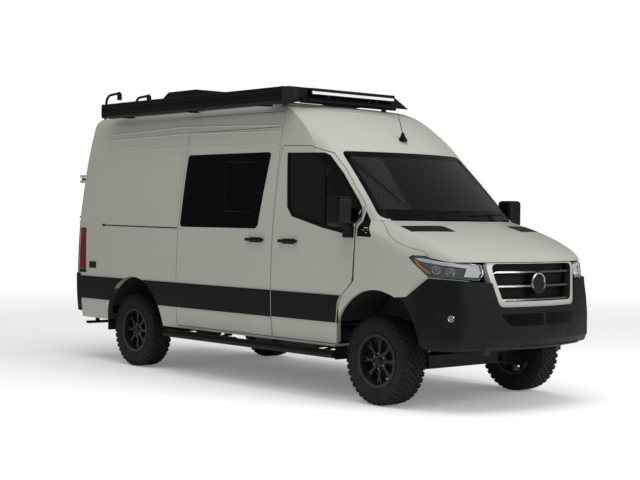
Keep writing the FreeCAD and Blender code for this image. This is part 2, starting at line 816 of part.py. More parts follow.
def rear_knuckle(height, part, forms):
    """Door's or pillar's half of one rear hinge, standing outside the body."""
    x = ahead(rear_hinge_ahead)
    if part < 0:
        pin = Part.makeCylinder(hinge_pin_radius, 3 * knuckle_height,
                                V(x, -rear_hinge_y, height - knuckle_height))
        low = height + 2.0
        high = height + knuckle_height - 2.0
        edge = -rear_door_edge(high) + 8.0
        bridge = box(x - 6, x + rear_hinge_depth, -rear_hinge_y, edge, low, high).cut(forms.outer)
        leaf = box(x - 6, x + 60, edge, edge + 40.0, low, high).cut(forms.middle)
        return pin.fuse([bridge, leaf])
    leaves = []
    for low in (height - knuckle_height, height + knuckle_height):
        leaf = box(x - 6, x + 140, -rear_hinge_y - 26.0, -rear_hinge_y, low + 2.0, low + knuckle_height - 2.0)
        eye = Part.makeCylinder(hinge_pin_radius + 7.0, knuckle_height - 4.0, V(x, -rear_hinge_y, low + 2.0))
        leaf = leaf.cut(forms.middle).fuse(eye)
        bore = Part.makeCylinder(hinge_pin_radius + running_gap, knuckle_height, V(x, -rear_hinge_y, low))
        leaves.append(leaf.cut(bore))
    return leaves


def make_mirror(forms):
    """Right mirror: housing with its foot on the front door."""
    x0 = ahead(-432.0)
    head = box(x0, ahead(-262.0), -1176.0, -1010.0, 1500.0, 1752.0)
    edges = [edge for edge in head.Edges if edge.Length > 100]
    head = head.makeFillet(34.0, edges)
    arm = rod((ahead(-330.0), -1080.0, 1530.0), (ahead(-330.0), -965.0, 1462.0), 26.0)
    foot = box(ahead(-395.0), ahead(-290.0), -1010.0, -900.0, 1404.0, 1470.0)
    whole = head.fuse([arm, foot])
    return main_solid(whole.cut(forms.outer))


def make_tail_lamp(forms):
    return main_solid(forms.shell.common(tail_lamp_block()))


def make_cladding(forms):
    """Dark strips along the right side between the doors and the wheel arches."""
    band = forms.proud.cut(side_prism(grown(front_door_outline, door_gap), -1200, -500))
    band = band.cut(box(ahead(-455.0), x_nose, -1200, 0, 0, 3000))
    band = band.cut(arch_cut(x_rear, rear_arch_height, arch_radius))
    band = band.cut(box(x_tail - 50, ahead(rear_bumper_front), -1200, 1200, 0, 3000))
    return keep_large(band)


def make_door_band(forms):
    return main_solid(forms.proud.common(side_prism(front_door_outline, -1200, -500)))


def wheelhouse(x, height, radius, inner):
    """Curved housing over a right wheel, with its upright inner wall."""
    whole = Part.makeCylinder(radius + house_thickness, 1000.0,
                              V(x, -inner - 1000.0 + house_thickness, height),
                              V(0, 1, 0))
    hollow = Part.makeCylinder(radius, 1000.0, V(x, -inner - 1000.0, height), V(0, 1, 0))
    return whole.cut(hollow)


def make_floor(forms):
    """Load floor, cab floor, bulkhead and wheel housings as one pressing."""
    low = floor_height - floor_thickness
    cab_low = cab_floor_height - floor_thickness
    floor = forms.inner_clear.common(box(ahead(floor_back), ahead(-1400.0), -1100, 1100, low, floor_height))
    cab = forms.inner_clear.common(box(ahead(-1400.0), ahead(40.0), -1100, 1100, cab_low, cab_floor_height))
    step = forms.inner_clear.common(box(ahead(-1440.0), ahead(-1400.0), -1100, 1100, low, cab_floor_height))
    front = swept_prism([(20.0, 690.0), (20.0, 1458.0), (100.0, 1458.0), (100.0, 1440.0), (44.0, 1440.0),
                         (44.0, 690.0)])
    front = front.common(box(-9000, 9000, -bulkhead_half, bulkhead_half, 0, 3000))
    pan = floor.fuse([cab, step, front])
    reach = arch_radius + 4.0
    houses = []
    for x, height, inner in ((x_front, front_arch_height, front_bay_inner),
                             (x_rear, rear_arch_height, bay_inner)):
        block = Part.makeCylinder(reach, 2400.0, V(x, -1200.0, height), V(0, 1, 0))
        pan = pan.cut(block.cut(box(-9000, 9000, -inner, inner, 0, 3000)))
        house = wheelhouse(x, height, reach, inner).common(forms.inner_clear)
        top = low if x < 0 else cab_low
        space = box(-9000, 9000, -1100, 1100, top, 3000)
        if x > 0:
            space = space.fuse(box(ahead(60.0), 9000, -1100, 1100, liner_low, 3000))
            space = space.common(plan_block(bumper_back - 8.0, 0.0, 3000.0))
        houses += both_sides(house.common(space))
    pan = pan.fuse(houses)
    pan = pan.fuse(both_sides(bonnet_ears()))
    return main_solid(pan)


def bonnet_ears():
    """Pair of ears on the right that hold the bonnet's hinge pin."""
    ears = []
    for y in (-bonnet_hinge_y - 20.0, -bonnet_hinge_y + 8.0):
        sag = plan_sag(y)
        plate = box(ahead(bonnet_hinge_ahead - 15.0) - sag, ahead(bonnet_hinge_ahead + 20.0) - sag, y,
                    y + 12.0, 1450.0,
                    bonnet_hinge_height + 4)
        ears.append(plate)
    pair = ears[0].fuse(ears[1])
    x = ahead(bonnet_hinge_ahead) - plan_sag(bonnet_hinge_y)
    bore = Part.makeCylinder(hinge_pin_radius + running_gap, 60.0,
                             V(x, -bonnet_hinge_y - 30, bonnet_hinge_height),
                             V(0, 1, 0))
    eye = Part.makeCylinder(hinge_pin_radius + 6.0, 40.0, V(x, -bonnet_hinge_y - 20, bonnet_hinge_height),
                            V(0, 1, 0))
    eye = eye.cut(box(-9000, 9000, -bonnet_hinge_y - 8.0, -bonnet_hinge_y + 8.0, 0, 3000))
    return pair.fuse(eye).cut(bore)


def bonnet_hinge(forms):
    """Right pin and the cranked arm that carries the bonnet from under its rear edge."""
    x = ahead(bonnet_hinge_ahead) - plan_sag(bonnet_hinge_y)
    pin = Part.makeCylinder(hinge_pin_radius, 40.0, V(x, -bonnet_hinge_y - 20, bonnet_hinge_height),
                            V(0, 1, 0))
    y0 = -bonnet_hinge_y - 6.0
    y1 = -bonnet_hinge_y + 6.0
    foot = bonnet_hinge_height - hinge_arm_drop
    leg = box(x - 8, x + 8, y0, y1, foot, bonnet_hinge_height)
    reach = box(x - 8, x + hinge_arm_reach, y0, y1, foot, foot + 16.0)
    riser = box(x + hinge_arm_reach - 16.0, x + hinge_arm_reach, y0, y1, foot, bonnet_hinge_height + 60.0)
    return pin.fuse([leg, reach, riser.common(forms.middle)])


def make_tyre():
    """Tyre as a turned ring, centred on the origin."""
    half = tyre_width / 2.0
    tread = half - 18.0
    bead = rim_width / 2.0 - 2.0 - running_gap
    seat = rim_radius - 14.0 + running_gap
    profile = [(seat, -bead), (rim_radius + 1.0, -bead), (rim_radius + 20.0, -half + 14.0),
               (rim_radius + 70.0, -half), (tyre_radius - 40.0, -half + 4.0),
               (tyre_radius - 9.0, -tread), (tyre_radius, -tread + 18.0), (tyre_radius, tread - 18.0),
               (tyre_radius - 9.0, tread), (tyre_radius - 40.0, half - 4.0), (rim_radius + 70.0, half),
               (rim_radius + 20.0, half - 14.0), (rim_radius + 1.0, bead), (seat, bead)]
    points = [V(0, y, r) for r, y in profile]
    face = polygon_face(points)
    return face.revolve(V(0, 0, 0), V(0, 1, 0), 360.0)


def make_wheel():
    """Wheel centred on the origin with its outer face towards -Y."""
    outer = rim_radius
    half = rim_width / 2.0
    seat = rim_radius - 14.0
    profile = [(outer, -half - 8.0), (outer, -half + 2.0), (seat, -half + 2.0), (seat, half - 2.0),
               (outer, half - 2.0), (outer, half + 8.0), (seat - rim_wall, half + 8.0),
               (seat - rim_wall - 8.0, half - 30.0), (seat - rim_wall - 8.0, -half + 24.0),
               (seat - rim_wall, -half - 8.0)]
    barrel = polygon_face([V(0, y, r) for r, y in profile]).revolve(V(0, 0, 0), V(0, 1, 0), 360.0)
    hub = Part.makeCylinder(hub_radius, 40.0, V(0, -hub_face, 0), V(0, 1, 0))
    wheel = barrel.fuse(hub)
    reach = seat - rim_wall
    for index in range(spoke_count):
        spoke = y_spoke(reach)
        spoke.rotate(V(0, 0, 0), V(0, 1, 0), 360.0 * index / spoke_count)
        wheel = wheel.fuse(spoke)
    wheel = wheel.cut(Part.makeCylinder(centre_bore_radius, 60.0, V(0, -hub_face + 12.0, 0), V(0, 1, 0)))
    for index in range(stud_count):
        angle = 2 * math.pi * index / stud_count
        at = V(stud_circle / 2 * math.cos(angle), -hub_face - 10, stud_circle / 2 * math.sin(angle))
        wheel = wheel.cut(Part.makeCylinder(stud_hole_radius, 80.0, at, V(0, 1, 0)))
    return main_solid(wheel)


def y_spoke(reach):
    """One spoke that forks before it meets the rim."""
    y0 = -hub_face - 6.0
    stem = Part.makeBox(spoke_width, spoke_depth, reach * 0.45, V(-spoke_width / 2, y0, hub_radius - 20.0))
    shape = stem
    for side in (-1, 1):
        arm = Part.makeBox(spoke_width * 0.8, spoke_depth, reach - hub_radius - 40.0,
                           V(-spoke_width * 0.4, y0, 0))
        arm.rotate(V(0, 0, 0), V(0, 1, 0), side * 17.0)
        arm.translate(V(0, 0, hub_radius + 45.0))
        shape = shape.fuse(arm)
    limit = Part.makeCylinder(reach + 4.0, 200.0, V(0, -100, 0), V(0, 1, 0))
    return shape.common(limit)


def place_wheel(shape, x, side):
    """A right-hand wheel or tyre moved to its axle; side is -1 right, 1 left."""
    moved = shape.copy()
    moved.translate(V(x, -track / 2.0, tyre_radius))
    return moved if side < 0 else mirrored(moved)


def make_knuckle():
    """Right knuckle: hub, upright and the two ball joints on the steering axis."""
    y = -track / 2.0
    back = y - hub_face + 42.0
    hub = Part.makeCylinder(hub_radius - 6.0, 60.0, V(x_front, back, tyre_radius), V(0, 1, 0))
    spigot = Part.makeCylinder(centre_bore_radius - running_gap, 30.0,
                               V(x_front, back - 28.0, tyre_radius), V(0, 1, 0))
    upright = box(x_front - 34, x_front + 34, kingpin_y - 26, kingpin_y + 26, king_low, king_high)
    disc = Part.makeCylinder(disc_radius, 26.0, V(x_front, back + 6.0, tyre_radius), V(0, 1, 0))
    body = hub.fuse([spigot, upright, disc])
    link = box(x_front - 30, x_front + 30, back + 20, kingpin_y + 10, tyre_radius - 50, tyre_radius + 50)
    arm = box(x_front - 150, x_front, kingpin_y - 12, kingpin_y + 12, tyre_radius - 60, tyre_radius - 40)
    body = body.fuse([link, arm])
    for low, high in ((king_low - 40.0, king_low), (king_high, king_high + 40.0)):
        body = body.fuse(Part.makeCylinder(14.0, high - low, V(x_front, kingpin_y, low)))
    return main_solid(body)


def make_front_suspension():
    """Subframe, lower arms, struts, final drive and half shafts of the front axle."""
    cross = box(x_front - 110, x_front + 110, -rail_y + 10, rail_y - 10, 285.0, 400.0)
    parts = [cross]
    for bracket in both_sides(box(x_front - 90, x_front + 90, rail_y - 30, rail_y - 10, 390.0, rail_base)):
        parts.append(bracket)
    parts.append(Part.makeCylinder(110.0, 200.0, V(x_front, -100, tyre_radius + 40), V(0, 1, 0)))
    socket_low = king_low - 40.0
    for side in (-1, 1):
        y = side * abs(kingpin_y)
        inner = side * (rail_y - 60.0)
        eye = Part.makeCylinder(26.0, 30.0, V(x_front, y, socket_low + 4.0))
        for shift in (-95.0, 95.0):
            parts.append(rod((x_front + shift, inner, 302.0), (x_front, y, socket_low + 19.0), 14.0))
        parts.append(eye)
        strut_low = king_high + 10.0
        parts.append(Part.makeCylinder(30.0, 24.0, V(x_front, y, strut_low)))
        parts.append(Part.makeCylinder(24.0, strut_top - strut_low - 20.0, V(x_front, y, strut_low + 20.0)))
        for turn in range(spring_turns):
            ring = Part.makeTorus(52.0, 8.0, V(x_front, y, strut_low + 110.0 + turn * 30.0), V(0, 0, 1))
            parts.append(ring)
        seat = Part.makeCylinder(62.0, 10.0, V(x_front, y, strut_low + 96.0))
        parts.append(seat)
        parts.append(rod((x_front, side * 90.0, tyre_radius + 40),
                         (x_front, side * (abs(kingpin_y) - 48.0), tyre_radius + 8), 18.0))
    whole = parts[0].fuse(parts[1:])
    for side in (-1, 1):
        y = side * abs(kingpin_y)
        for low in (king_low - 41.0, king_high + running_gap - 1):
            whole = whole.cut(Part.makeCylinder(14.0 + running_gap, 42.0 + running_gap, V(x_front, y, low)))
    return main_solid(whole)


def make_chassis():
    """Two long members with cross members, sill outriggers and jacking points."""
    parts = []
    for side in (-1, 1):
        y = side * rail_y
        parts.append(box(ahead(rail_back), ahead(rail_front), y - rail_width / 2, y + rail_width / 2,
                         rail_base, rail_base + rail_height))
    whole = parts[0]
    pieces = [parts[1]]
    for place in cross_members:
        pieces.append(box(ahead(place) - 40, ahead(place) + 40, -rail_y, rail_y, rail_base + 60,
                          rail_base + rail_height))
    for place in outriggers:
        pieces += both_sides(box(ahead(place) - 30, ahead(place) + 30, -outrigger_end, -rail_y,
                                 rail_base + 60,
                                 rail_base + rail_height))
    whole = whole.fuse(pieces)
    return main_solid(whole)


def make_rear_axle():
    """Axle tube with its final drive, brake drums and leaf springs."""
    z = tyre_radius
    reach = track / 2.0 - hub_face + 42.0
    parts = [Part.makeCylinder(46.0, 2 * (reach - 20), V(x_rear, -(reach - 20), z), V(0, 1, 0)),
             Part.makeCylinder(128.0, 190.0, V(x_rear, -95, z), V(0, 1, 0))]
    for side in (-1, 1):
        face = side * (track / 2.0 + hub_face - 42.0)
        hub = Part.makeCylinder(disc_radius, 50.0, V(x_rear, face - side * 62.0, z), V(0, side, 0))
        flange = Part.makeCylinder(hub_radius - 6.0, 70.0, V(x_rear, face - side * 70.0, z), V(0, side, 0))
        spigot = Part.makeCylinder(centre_bore_radius - running_gap, 28.0, V(x_rear, face, z), V(0, side, 0))
        parts += [hub, flange, spigot]
        parts.append(leaf_spring(side))
    whole = parts[0].fuse(parts[1:])
    return main_solid(whole)


def leaf_spring(side):
    """Three leaves, arched under the axle tube, with an eye at each end."""
    y0 = side * spring_y - spring_width / 2
    shape = None
    for index in range(3):
        half = spring_half - index * 170.0
        low = tyre_radius + 44.0 + index * 12.0
        drop = spring_arch * (half / spring_half) ** 2
        arc = Part.Arc(V(x_rear - half, y0, low + drop), V(x_rear, y0, low),
                       V(x_rear + half, y0, low + drop)).toShape()
        top = Part.Arc(V(x_rear + half, y0, low + drop + 12.2), V(x_rear, y0, low + 12.2),
                       V(x_rear - half, y0, low + drop + 12.2)).toShape()
        wire = Part.Wire([arc,
                          Part.makeLine(V(x_rear + half, y0, low + drop),
                                        V(x_rear + half, y0, low + drop + 12.2)),
                          top, Part.makeLine(V(x_rear - half, y0, low + drop + 12.2),
                                             V(x_rear - half, y0, low + drop))])
        leaf = Part.Face(wire).extrude(V(0, spring_width, 0))
        shape = leaf if shape is None else shape.fuse(leaf)
    for end in (-1, 1):
        eye = Part.makeCylinder(24.0, spring_width,
                                V(x_rear + end * spring_half, y0, tyre_radius + 50.0 + spring_arch),
                                V(0, 1, 0))
        near = side * (rail_y + rail_width / 2)
        far = side * (spring_y + spring_width / 2)
        hanger = box(x_rear + end * spring_half - 22, x_rear + end * spring_half + 22, min(near, far),
                     max(near, far),
                     tyre_radius + 50.0 + spring_arch, rail_base + rail_height - 10)
        shape = shape.fuse([eye, hanger])
    return shape


def make_underbody():
    """Gearbox, propeller shafts, fuel tank and silencer."""
    case = box(ahead(-900), ahead(-420), -170, 170, 400, 620)
    gearbox = box(ahead(-430), ahead(engine_back), -120, 120, 545, 665)
    front_shaft = rod((ahead(-430), 60, 470), (ahead(-118), 30, 430), 30.0)
    rear_shaft = rod((ahead(-890), 0, 470), (x_rear + 132, 0, tyre_radius + 30), 38.0)
    drive = case.fuse([gearbox, front_shaft, rear_shaft])
    tank = box(ahead(-2350), ahead(-1450), -400, 400, 330, 560)
    tank = tank.makeFillet(40.0, [edge for edge in tank.Edges if edge.Length > 700])
    tank = tank.cut(Part.makeCylinder(60.0, 1500, V(ahead(-2500), 0, 430), V(1, 0, 0)))
    silencer = Part.makeCylinder(95.0, 700.0, V(ahead(-2350), 640, rail_base - 95.0), V(1, 0, 0))
    return [main_solid(drive), main_solid(tank), silencer]


def make_engine():
    """Engine as one plain block on its mounts between the chassis members."""
    block = box(ahead(engine_back), ahead(640), -330, 330, 540, 1150)
    inner = rail_y - rail_width / 2
    return block.fuse(box(ahead(200), ahead(300), -inner, inner, 545, 575))


def make_bumper_rear(forms):
    """Rear bumper: corners under the lamps and the step between them."""
    corner = forms.outer_proud.common(box(x_tail - 50, ahead(rear_bumper_front), -1200, 1200, rear_step_low,
                                          lamp_low - 3.0))
    half = rear_door_half + 12.0
    corner = corner.cut(forms.inner)
    corner = corner.cut(box(x_tail - 60, ahead(-4600.0), -half, half, rear_step_height, 1200.0))
    step = box(x_tail, ahead(floor_back), -half, half, rear_step_low + 20, rear_step_height)
    step = step.makeFillet(24.0, [edge for edge in step.Edges if edge.BoundBox.XMax < x_tail + 5])
    return main_solid(corner.fuse(step))


def bent_tube(points, tube, bend):
    """Round tube along straight runs that are joined by arcs of one radius."""
    edges = []
    start = V(*points[0])
    for index in range(1, len(points) - 1):
        before = V(*points[index - 1])
        here = V(*points[index])
        after = V(*points[index + 1])
        back = (before - here).normalize()
        forth = (after - here).normalize()
        half = math.acos(max(-1.0, min(1.0, back.dot(forth)))) / 2.0
        reach = bend / math.tan(half)
        first = here + back * reach
        last = here + forth * reach
        middle = here + (back + forth).normalize() * (bend / math.sin(half) - bend)
        edges.append(Part.makeLine(start, first))
        edges.append(Part.Arc(first, middle, last).toShape())
        start = last
    edges.append(Part.makeLine(start, V(*points[-1])))
    direction = V(*points[1]) - V(*points[0])
    circle = Part.Wire([Part.makeCircle(tube, V(*points[0]), direction)])
    return Part.Wire(edges).makePipeShell([circle], True, False)


def make_ladder(forms):
    """Ladder on the right rear door, with rails that hook over the roof edge."""
    x = ahead(ladder_ahead)
    parts = []
    for y in ladder_rails:
        route = [(x, y, 820.0), (x, y, 2300.0), (x + 60.0, y, ladder_top), (x + 330.0, y, ladder_top + 18.0)]
        parts.append(bent_tube(route, ladder_tube, ladder_bend))
        parts.append(box(x + 300.0, x + 345.0, y - 17, y + 17, ladder_top - 60.0, ladder_top + 12.0))
        for height in ladder_feet:
            parts.append(box(x, ahead(-4830.0), y - 15, y + 15, height - 20, height + 20))
    low = 900.0
    while low < 2600.0:
        lean = 0.0 if low < 2300.0 else (low - 2300.0) / (ladder_top - 2300.0) * 60.0
        parts.append(rod((x + lean, ladder_rails[0], low), (x + lean, ladder_rails[1], low),
                         ladder_tube - 2.0))
        low += rung_pitch
    return main_solid(parts[0].fuse(parts[1:]).cut(forms.outer))


def make_rack(forms):
    """Roof rack: side members, cross bars, feet and the front fairing."""
    parts = []
    for side in (-1, 1):
        y = side * rack_half
        parts.append(box(ahead(rack_back), ahead(rack_front), y - 22, y + 22, rack_base,
                         rack_base + rack_height))
    place = rack_back + 30.0
    while place < rack_front:
        parts.append(box(ahead(place) - 20, ahead(place) + 20, -rack_half, rack_half, rack_base + 20,
                         rack_base + rack_height - 8))
        for side in (-1, 1):
            parts.append(box(ahead(place) - 18, ahead(place) + 18, side * rack_half - 18,
                             side * rack_half + 18,
                             2560.0, rack_base + 10))
        place += rack_pitch
    for place in awning_brackets:
        parts.append(box(ahead(place) - 20, ahead(place) + 20, -awning_y + awning_size / 2, -rack_half,
                         rack_base + 8, rack_base + 20))
    parts.append(make_fairing())
    for side in (-1, 1):
        low = min(side * (rack_half - 22), side * (rack_half + 34))
        parts.append(box(ahead(rack_front), ahead(fairing_back + 40.0), low, low + 56.0, rack_base,
                         rack_base + 40.0))
    whole = parts[0].fuse(parts[1:])
    return main_solid(whole.cut(forms.outer))


def make_fairing():
    """Wind deflector at the front of the rack, open behind and below."""
    side_view = [(fairing_back, rack_base), (fairing_back, fairing_top), (fairing_back + 12.0, fairing_top),
                 (fairing_front, fairing_low), (fairing_front - 14.0, fairing_low), (fairing_front - 90.0,
                                                                                     rack_base)]
    sheet = side_prism(side_view, -rack_half - 40, rack_half + 40)
    inside = side_prism([(fairing_back - 50, 2500.0), (fairing_back - 50, fairing_top - 12.0),
                         (fairing_back + 4.0, fairing_top - 12.0), (fairing_front - 18.0, fairing_low - 6.0),
                         (fairing_front - 18.0, 2500.0)], -rack_half - 28, rack_half + 28)
    return sheet.cut(inside)


def make_light_bar():
    """Straight lamp bar on two brackets that stand on the fairing's slope."""
    x = ahead(fairing_back + 130.0)
    bar = box(x, x + 60.0, -540, 540, 2724.0, 2780.0)
    feet = both_sides(box(x + 16.0, x + 44.0, 300, 330, 2640.0, 2730.0).cut(
        side_prism([(fairing_back, 2500.0), (fairing_back, fairing_top), (fairing_back + 12.0, fairing_top),
                    (fairing_front, fairing_low), (fairing_front, 2500.0)], -900, 900)))
    return main_solid(bar.fuse(feet))


def make_awning():
    """Rolled awning in its case along the right roof edge."""
    case = box(ahead(awning_back), ahead(awning_front), -awning_y - awning_size / 2,
               -awning_y + awning_size / 2,
               awning_base, awning_base + awning_size)
    return case.makeFillet(30.0, [edge for edge in case.Edges if edge.Length > 1000])


def make_roof_unit():
    """Roof air unit, with its low tapered cover."""
    x0 = ahead(-4230.0)
    base = box(x0, x0 + 700.0, -300, 300, roof_unit_base, roof_unit_base + 60.0)
    top = Part.makeLoft([Part.makePolygon([V(x0 + a, -300 + b, roof_unit_base + 60.0) for a, b in
                                           ((0, 0), (700, 0), (700, 600), (0, 600), (0, 0))]),
                         Part.makePolygon([V(x0 + a, -300 + b, roof_unit_top) for a, b in
                                           ((90, 60), (600, 60), (600, 540), (90, 540),
                                            (90, 60))])], True, True)
    return base.fuse(top)


def make_running_boards():
    """Tube steps along both sills, on brackets from the chassis outriggers."""
    parts = []
    tube = rod((ahead(step_back), -step_y, step_height), (ahead(step_front), -step_y, step_height),
               step_radius)
    for place in step_brackets:
        tube = tube.fuse(rod((ahead(place), -step_y, step_height),
                             (ahead(place), -885.0, sill_height - 17.0), 14.0))
        tube = tube.fuse(box(ahead(place) - 30, ahead(place) + 30, -912, -860, sill_height - 30, sill_height))
    parts.append(main_solid(tube))
    return [parts[0], mirrored(parts[0])]


def make_mud_flaps():
    """Flaps that hang from the sills behind the wheels."""
    flaps = []
    for x in (ahead(-flap_back), x_rear - flap_back):
        flaps += both_sides(box(x - 12.0, x, -950.0, -700.0, 340.0, sill_height))
    return flaps


def make_dashboard(forms):
    """Dashboard with its binnacle, plus the steering wheel on its column."""
    top = swept_prism([(-420.0, 1100.0), (-420.0, 1330.0), (-330.0, 1395.0), (10.0, 1420.0), (10.0, 1100.0)])
    dash = top.common(forms.inner_clear).common(box(-9000, 9000, -860, 860, 0, 3000))
    dash = dash.cut(hinge_keepout())
    column = rod((ahead(-300.0), 420.0, 1250.0), (ahead(-470.0), 420.0, 1330.0), 26.0)
    ring = Part.makeTorus(188.0, 15.0, V(ahead(-500.0), 420.0, 1345.0), V(-0.82, 0, 0.57))
    spokes = [rod((ahead(-500.0) - 0.57 * 185 * math.cos(a), 420.0 + 185 * math.sin(a),
                   1345.0 - 0.82 * 185 * math.cos(a)),
                  (ahead(-500.0), 420.0, 1345.0), 13.0) for a in (0.0, math.pi / 2, -math.pi / 2)]
    boss = rod((ahead(-525.0), 420.0, 1362.0), (ahead(-460.0), 420.0, 1318.0), 60.0)
    wheel = ring.fuse(spokes + [boss, column])
    wheel = wheel.cut(dash)
    return [main_solid(dash), main_solid(wheel)]


def hinge_keepout():
    keep = hinge_cylinder(110.0, 900.0, 1500.0)
    return keep.fuse(mirrored(keep))


def make_seat(y):
    """Cab seat: pedestal, cushion, back and head restraint."""
    x0 = ahead(-1180.0)
    pedestal = box(x0 + 40, x0 + 420, y - 200, y + 200, cab_floor_height, cab_floor_height + 260.0)
    cushion = box(x0, x0 + 500, y - 250, y + 250, cab_floor_height + 260.0, cab_floor_height + 400.0)
    cushion = cushion.makeFillet(45.0, cushion.Edges)
    back = box(x0 - 60, x0 + 70, y - 245, y + 245, cab_floor_height + 330.0, cab_floor_height + 1000.0)
    back = back.makeFillet(45.0, back.Edges)
    back.rotate(V(x0, y, cab_floor_height + 330.0), V(0, 1, 0), -10.0)
    head = box(x0 - 170, x0 - 70, y - 130, y + 130, cab_floor_height + 960.0, cab_floor_height + 1180.0)
    head = head.makeFillet(35.0, head.Edges)
    return main_solid(pedestal.fuse([cushion, back, head]))


def make_furniture(forms):
    """Galley unit along the left side and bed platform across the back."""
    galley = box(ahead(-2850.0), ahead(-1650.0), 440.0, 1000.0, floor_height, floor_height + 880.0)
    bed = box(ahead(-4560.0), ahead(-2900.0), -1000.0, 1000.0, 1150.0, 1290.0)
    legs = [box(ahead(-4500.0), ahead(-2960.0), side * 500.0 - 12.0, side * 500.0 + 12.0, floor_height,
                1150.0)
            for side in (-1, 1)]
    bed = bed.fuse(legs).common(forms.inner_clear)
    return [main_solid(galley.common(forms.inner_clear)), main_solid(bed)]


def make_windscreen(forms):
    cut = front_prism(front_screen_outline(), ahead(-1000), x_nose + 100)
    return main_solid(forms.glass.common(cut))


def build():
    """Build every piece and write one file for each node."""
    forms = Forms()
    os.makedirs("parts", exist_ok=True)
    right = make_side(forms, True)
    left = make_side(forms, False)
    pillar = hinge_pillar()
    right = attach(right, pillar)
    left = attach(left, mirrored(pillar))
    for height in rear_hinge_heights:
        for leaf in rear_knuckle(height, 1.0, forms):
            right = attach(right, leaf)
            left = attach(left, mirrored(leaf))
    guide = side_guide(running_gap)
    right = keep_large(Part.makeCompound([solid.cut(guide) for solid in right]))
    export("side_panel_right", right)
    export("side_panel_left", left)
    export("roof_panel", make_roof(forms))
    wings, lid, lamps = make_front(forms)
    export("front_wings", keep_large(wings, 200000.0))
    hinge = bonnet_hinge(forms)
    bonnet = main_solid(lid).fuse([hinge, mirrored(hinge)])
    export("bonnet", [main_solid(bonnet)])
    export("headlamps", keep_large(lamps, 50000.0))
    export("front_bumper", [make_bumper()])
    surround, grille = make_grille()
    export("grille_surround", surround)
    export("grille", grille)
    export("windscreen", [make_windscreen(forms)])
    door, glass = make_front_door(forms)
    band = make_door_band(forms)
    door = main_solid(door.fuse(band))
    mirror = make_mirror(forms)
    for name, flip in (("right", False), ("left", True)):
        export("front_door_" + name, [mirrored(door) if flip else door])
        export("door_glass_" + name, [mirrored(glass) if flip else glass])
        export("mirror_" + name, [mirrored(mirror) if flip else mirror])
    slide, slide_glass = make_slide_door(forms)
    export("sliding_door", [slide])
    export("side_windows", both_sides(slide_glass))
    rear, rear_glass = make_rear_door(forms)
    for name, flip in (("right", False), ("left", True)):
        export("rear_door_" + name, [mirrored(rear) if flip else rear])
        export("rear_glass_" + name, [mirrored(rear_glass) if flip else rear_glass])
    lamp = make_tail_lamp(forms)
    export("tail_lamps", both_sides(lamp))
    cladding = make_cladding(forms)
    cladding += [mirrored(piece) for piece in cladding]
    export("side_cladding", cladding + make_mud_flaps())
    export("rear_bumper", [make_bumper_rear(forms)])
    export("ladder", [make_ladder(forms)])
    export("floor_pan", [make_floor(forms)])
    export("chassis_frame", [make_chassis()])
    export("engine", [make_engine()])
    export("front_suspension", [make_front_suspension()])
    export("underbody_units", make_underbody())
    export("rear_axle", [make_rear_axle()])
    knuckle = make_knuckle()
    export("knuckle_right", [knuckle])
    export("knuckle_left", [mirrored(knuckle)])
    wheel = make_wheel()
    tyre = make_tyre()
    for axle, x in (("front", x_front), ("rear", x_rear)):
        for name, side in (("right", -1), ("left", 1)):
            export("wheel_" + axle + "_" + name, [place_wheel(wheel, x, side)])
            export("tyre_" + axle + "_" + name, [place_wheel(tyre, x, side)])
    export("dashboard", make_dashboard(forms))
    export("cab_seats", [make_seat(430.0), make_seat(-430.0)])
    export("camper_furniture", make_furniture(forms))
    export("roof_rack", [make_rack(forms)])
    export("light_bar", [make_light_bar()])
    export("awning", [make_awning()])
    export("roof_unit", [make_roof_unit()])
    export("running_boards", make_running_boards())


def attach(solids, piece):
    """Fuse a piece to the solid of a list that it meets."""
    result = []
    done = False
    for solid in solids:
        if not done and solid.distToShape(piece)[0] < 0.001:
            result.append(main_solid(solid.fuse(piece)))
            done = True
        else:
            result.append(solid)
    if not done:
        raise RuntimeError("a piece meets nothing to carry it")
    return result


if __name__ == "__main__":
    build()
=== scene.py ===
import math

import bmesh
import bpy
from mathutils import Matrix, Vector
from mathutils.bvhtree import BVHTree


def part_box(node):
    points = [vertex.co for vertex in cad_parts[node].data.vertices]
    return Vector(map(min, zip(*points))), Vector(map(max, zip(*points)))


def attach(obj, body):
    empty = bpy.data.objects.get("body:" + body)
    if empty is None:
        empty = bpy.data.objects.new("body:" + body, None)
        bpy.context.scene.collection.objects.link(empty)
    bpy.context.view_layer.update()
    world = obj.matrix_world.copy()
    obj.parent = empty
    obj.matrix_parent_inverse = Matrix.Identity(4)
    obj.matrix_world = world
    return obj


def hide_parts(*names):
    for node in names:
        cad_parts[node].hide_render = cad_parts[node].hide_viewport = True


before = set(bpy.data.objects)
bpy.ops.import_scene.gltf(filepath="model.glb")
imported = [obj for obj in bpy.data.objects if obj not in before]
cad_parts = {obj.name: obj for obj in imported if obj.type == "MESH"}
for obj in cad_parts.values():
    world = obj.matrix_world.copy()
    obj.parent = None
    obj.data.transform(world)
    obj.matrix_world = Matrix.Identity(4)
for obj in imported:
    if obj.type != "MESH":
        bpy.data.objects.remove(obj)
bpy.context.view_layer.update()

bl_info = {
    "name": "Camper van looks",
    "version": (1, 0, 0),
    "blender": (4, 5, 0),
    "location": "3D View > Sidebar > Camper Van",
    "description": "Trim, lamps, tyres, upholstery and finishes for the camper van frame",
    "category": "Object",
}


# Places taken from the frame
def middle(node):
    """Centre of a CAD node's box."""
    low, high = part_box(node)
    return (Vector(low) + Vector(high)) / 2.0


AXLE_X = middle("tyre_front_right").x
SIDES = {"right": -1.0, "left": 1.0}
WHEELS = ("front_right", "front_left", "rear_right", "rear_left")

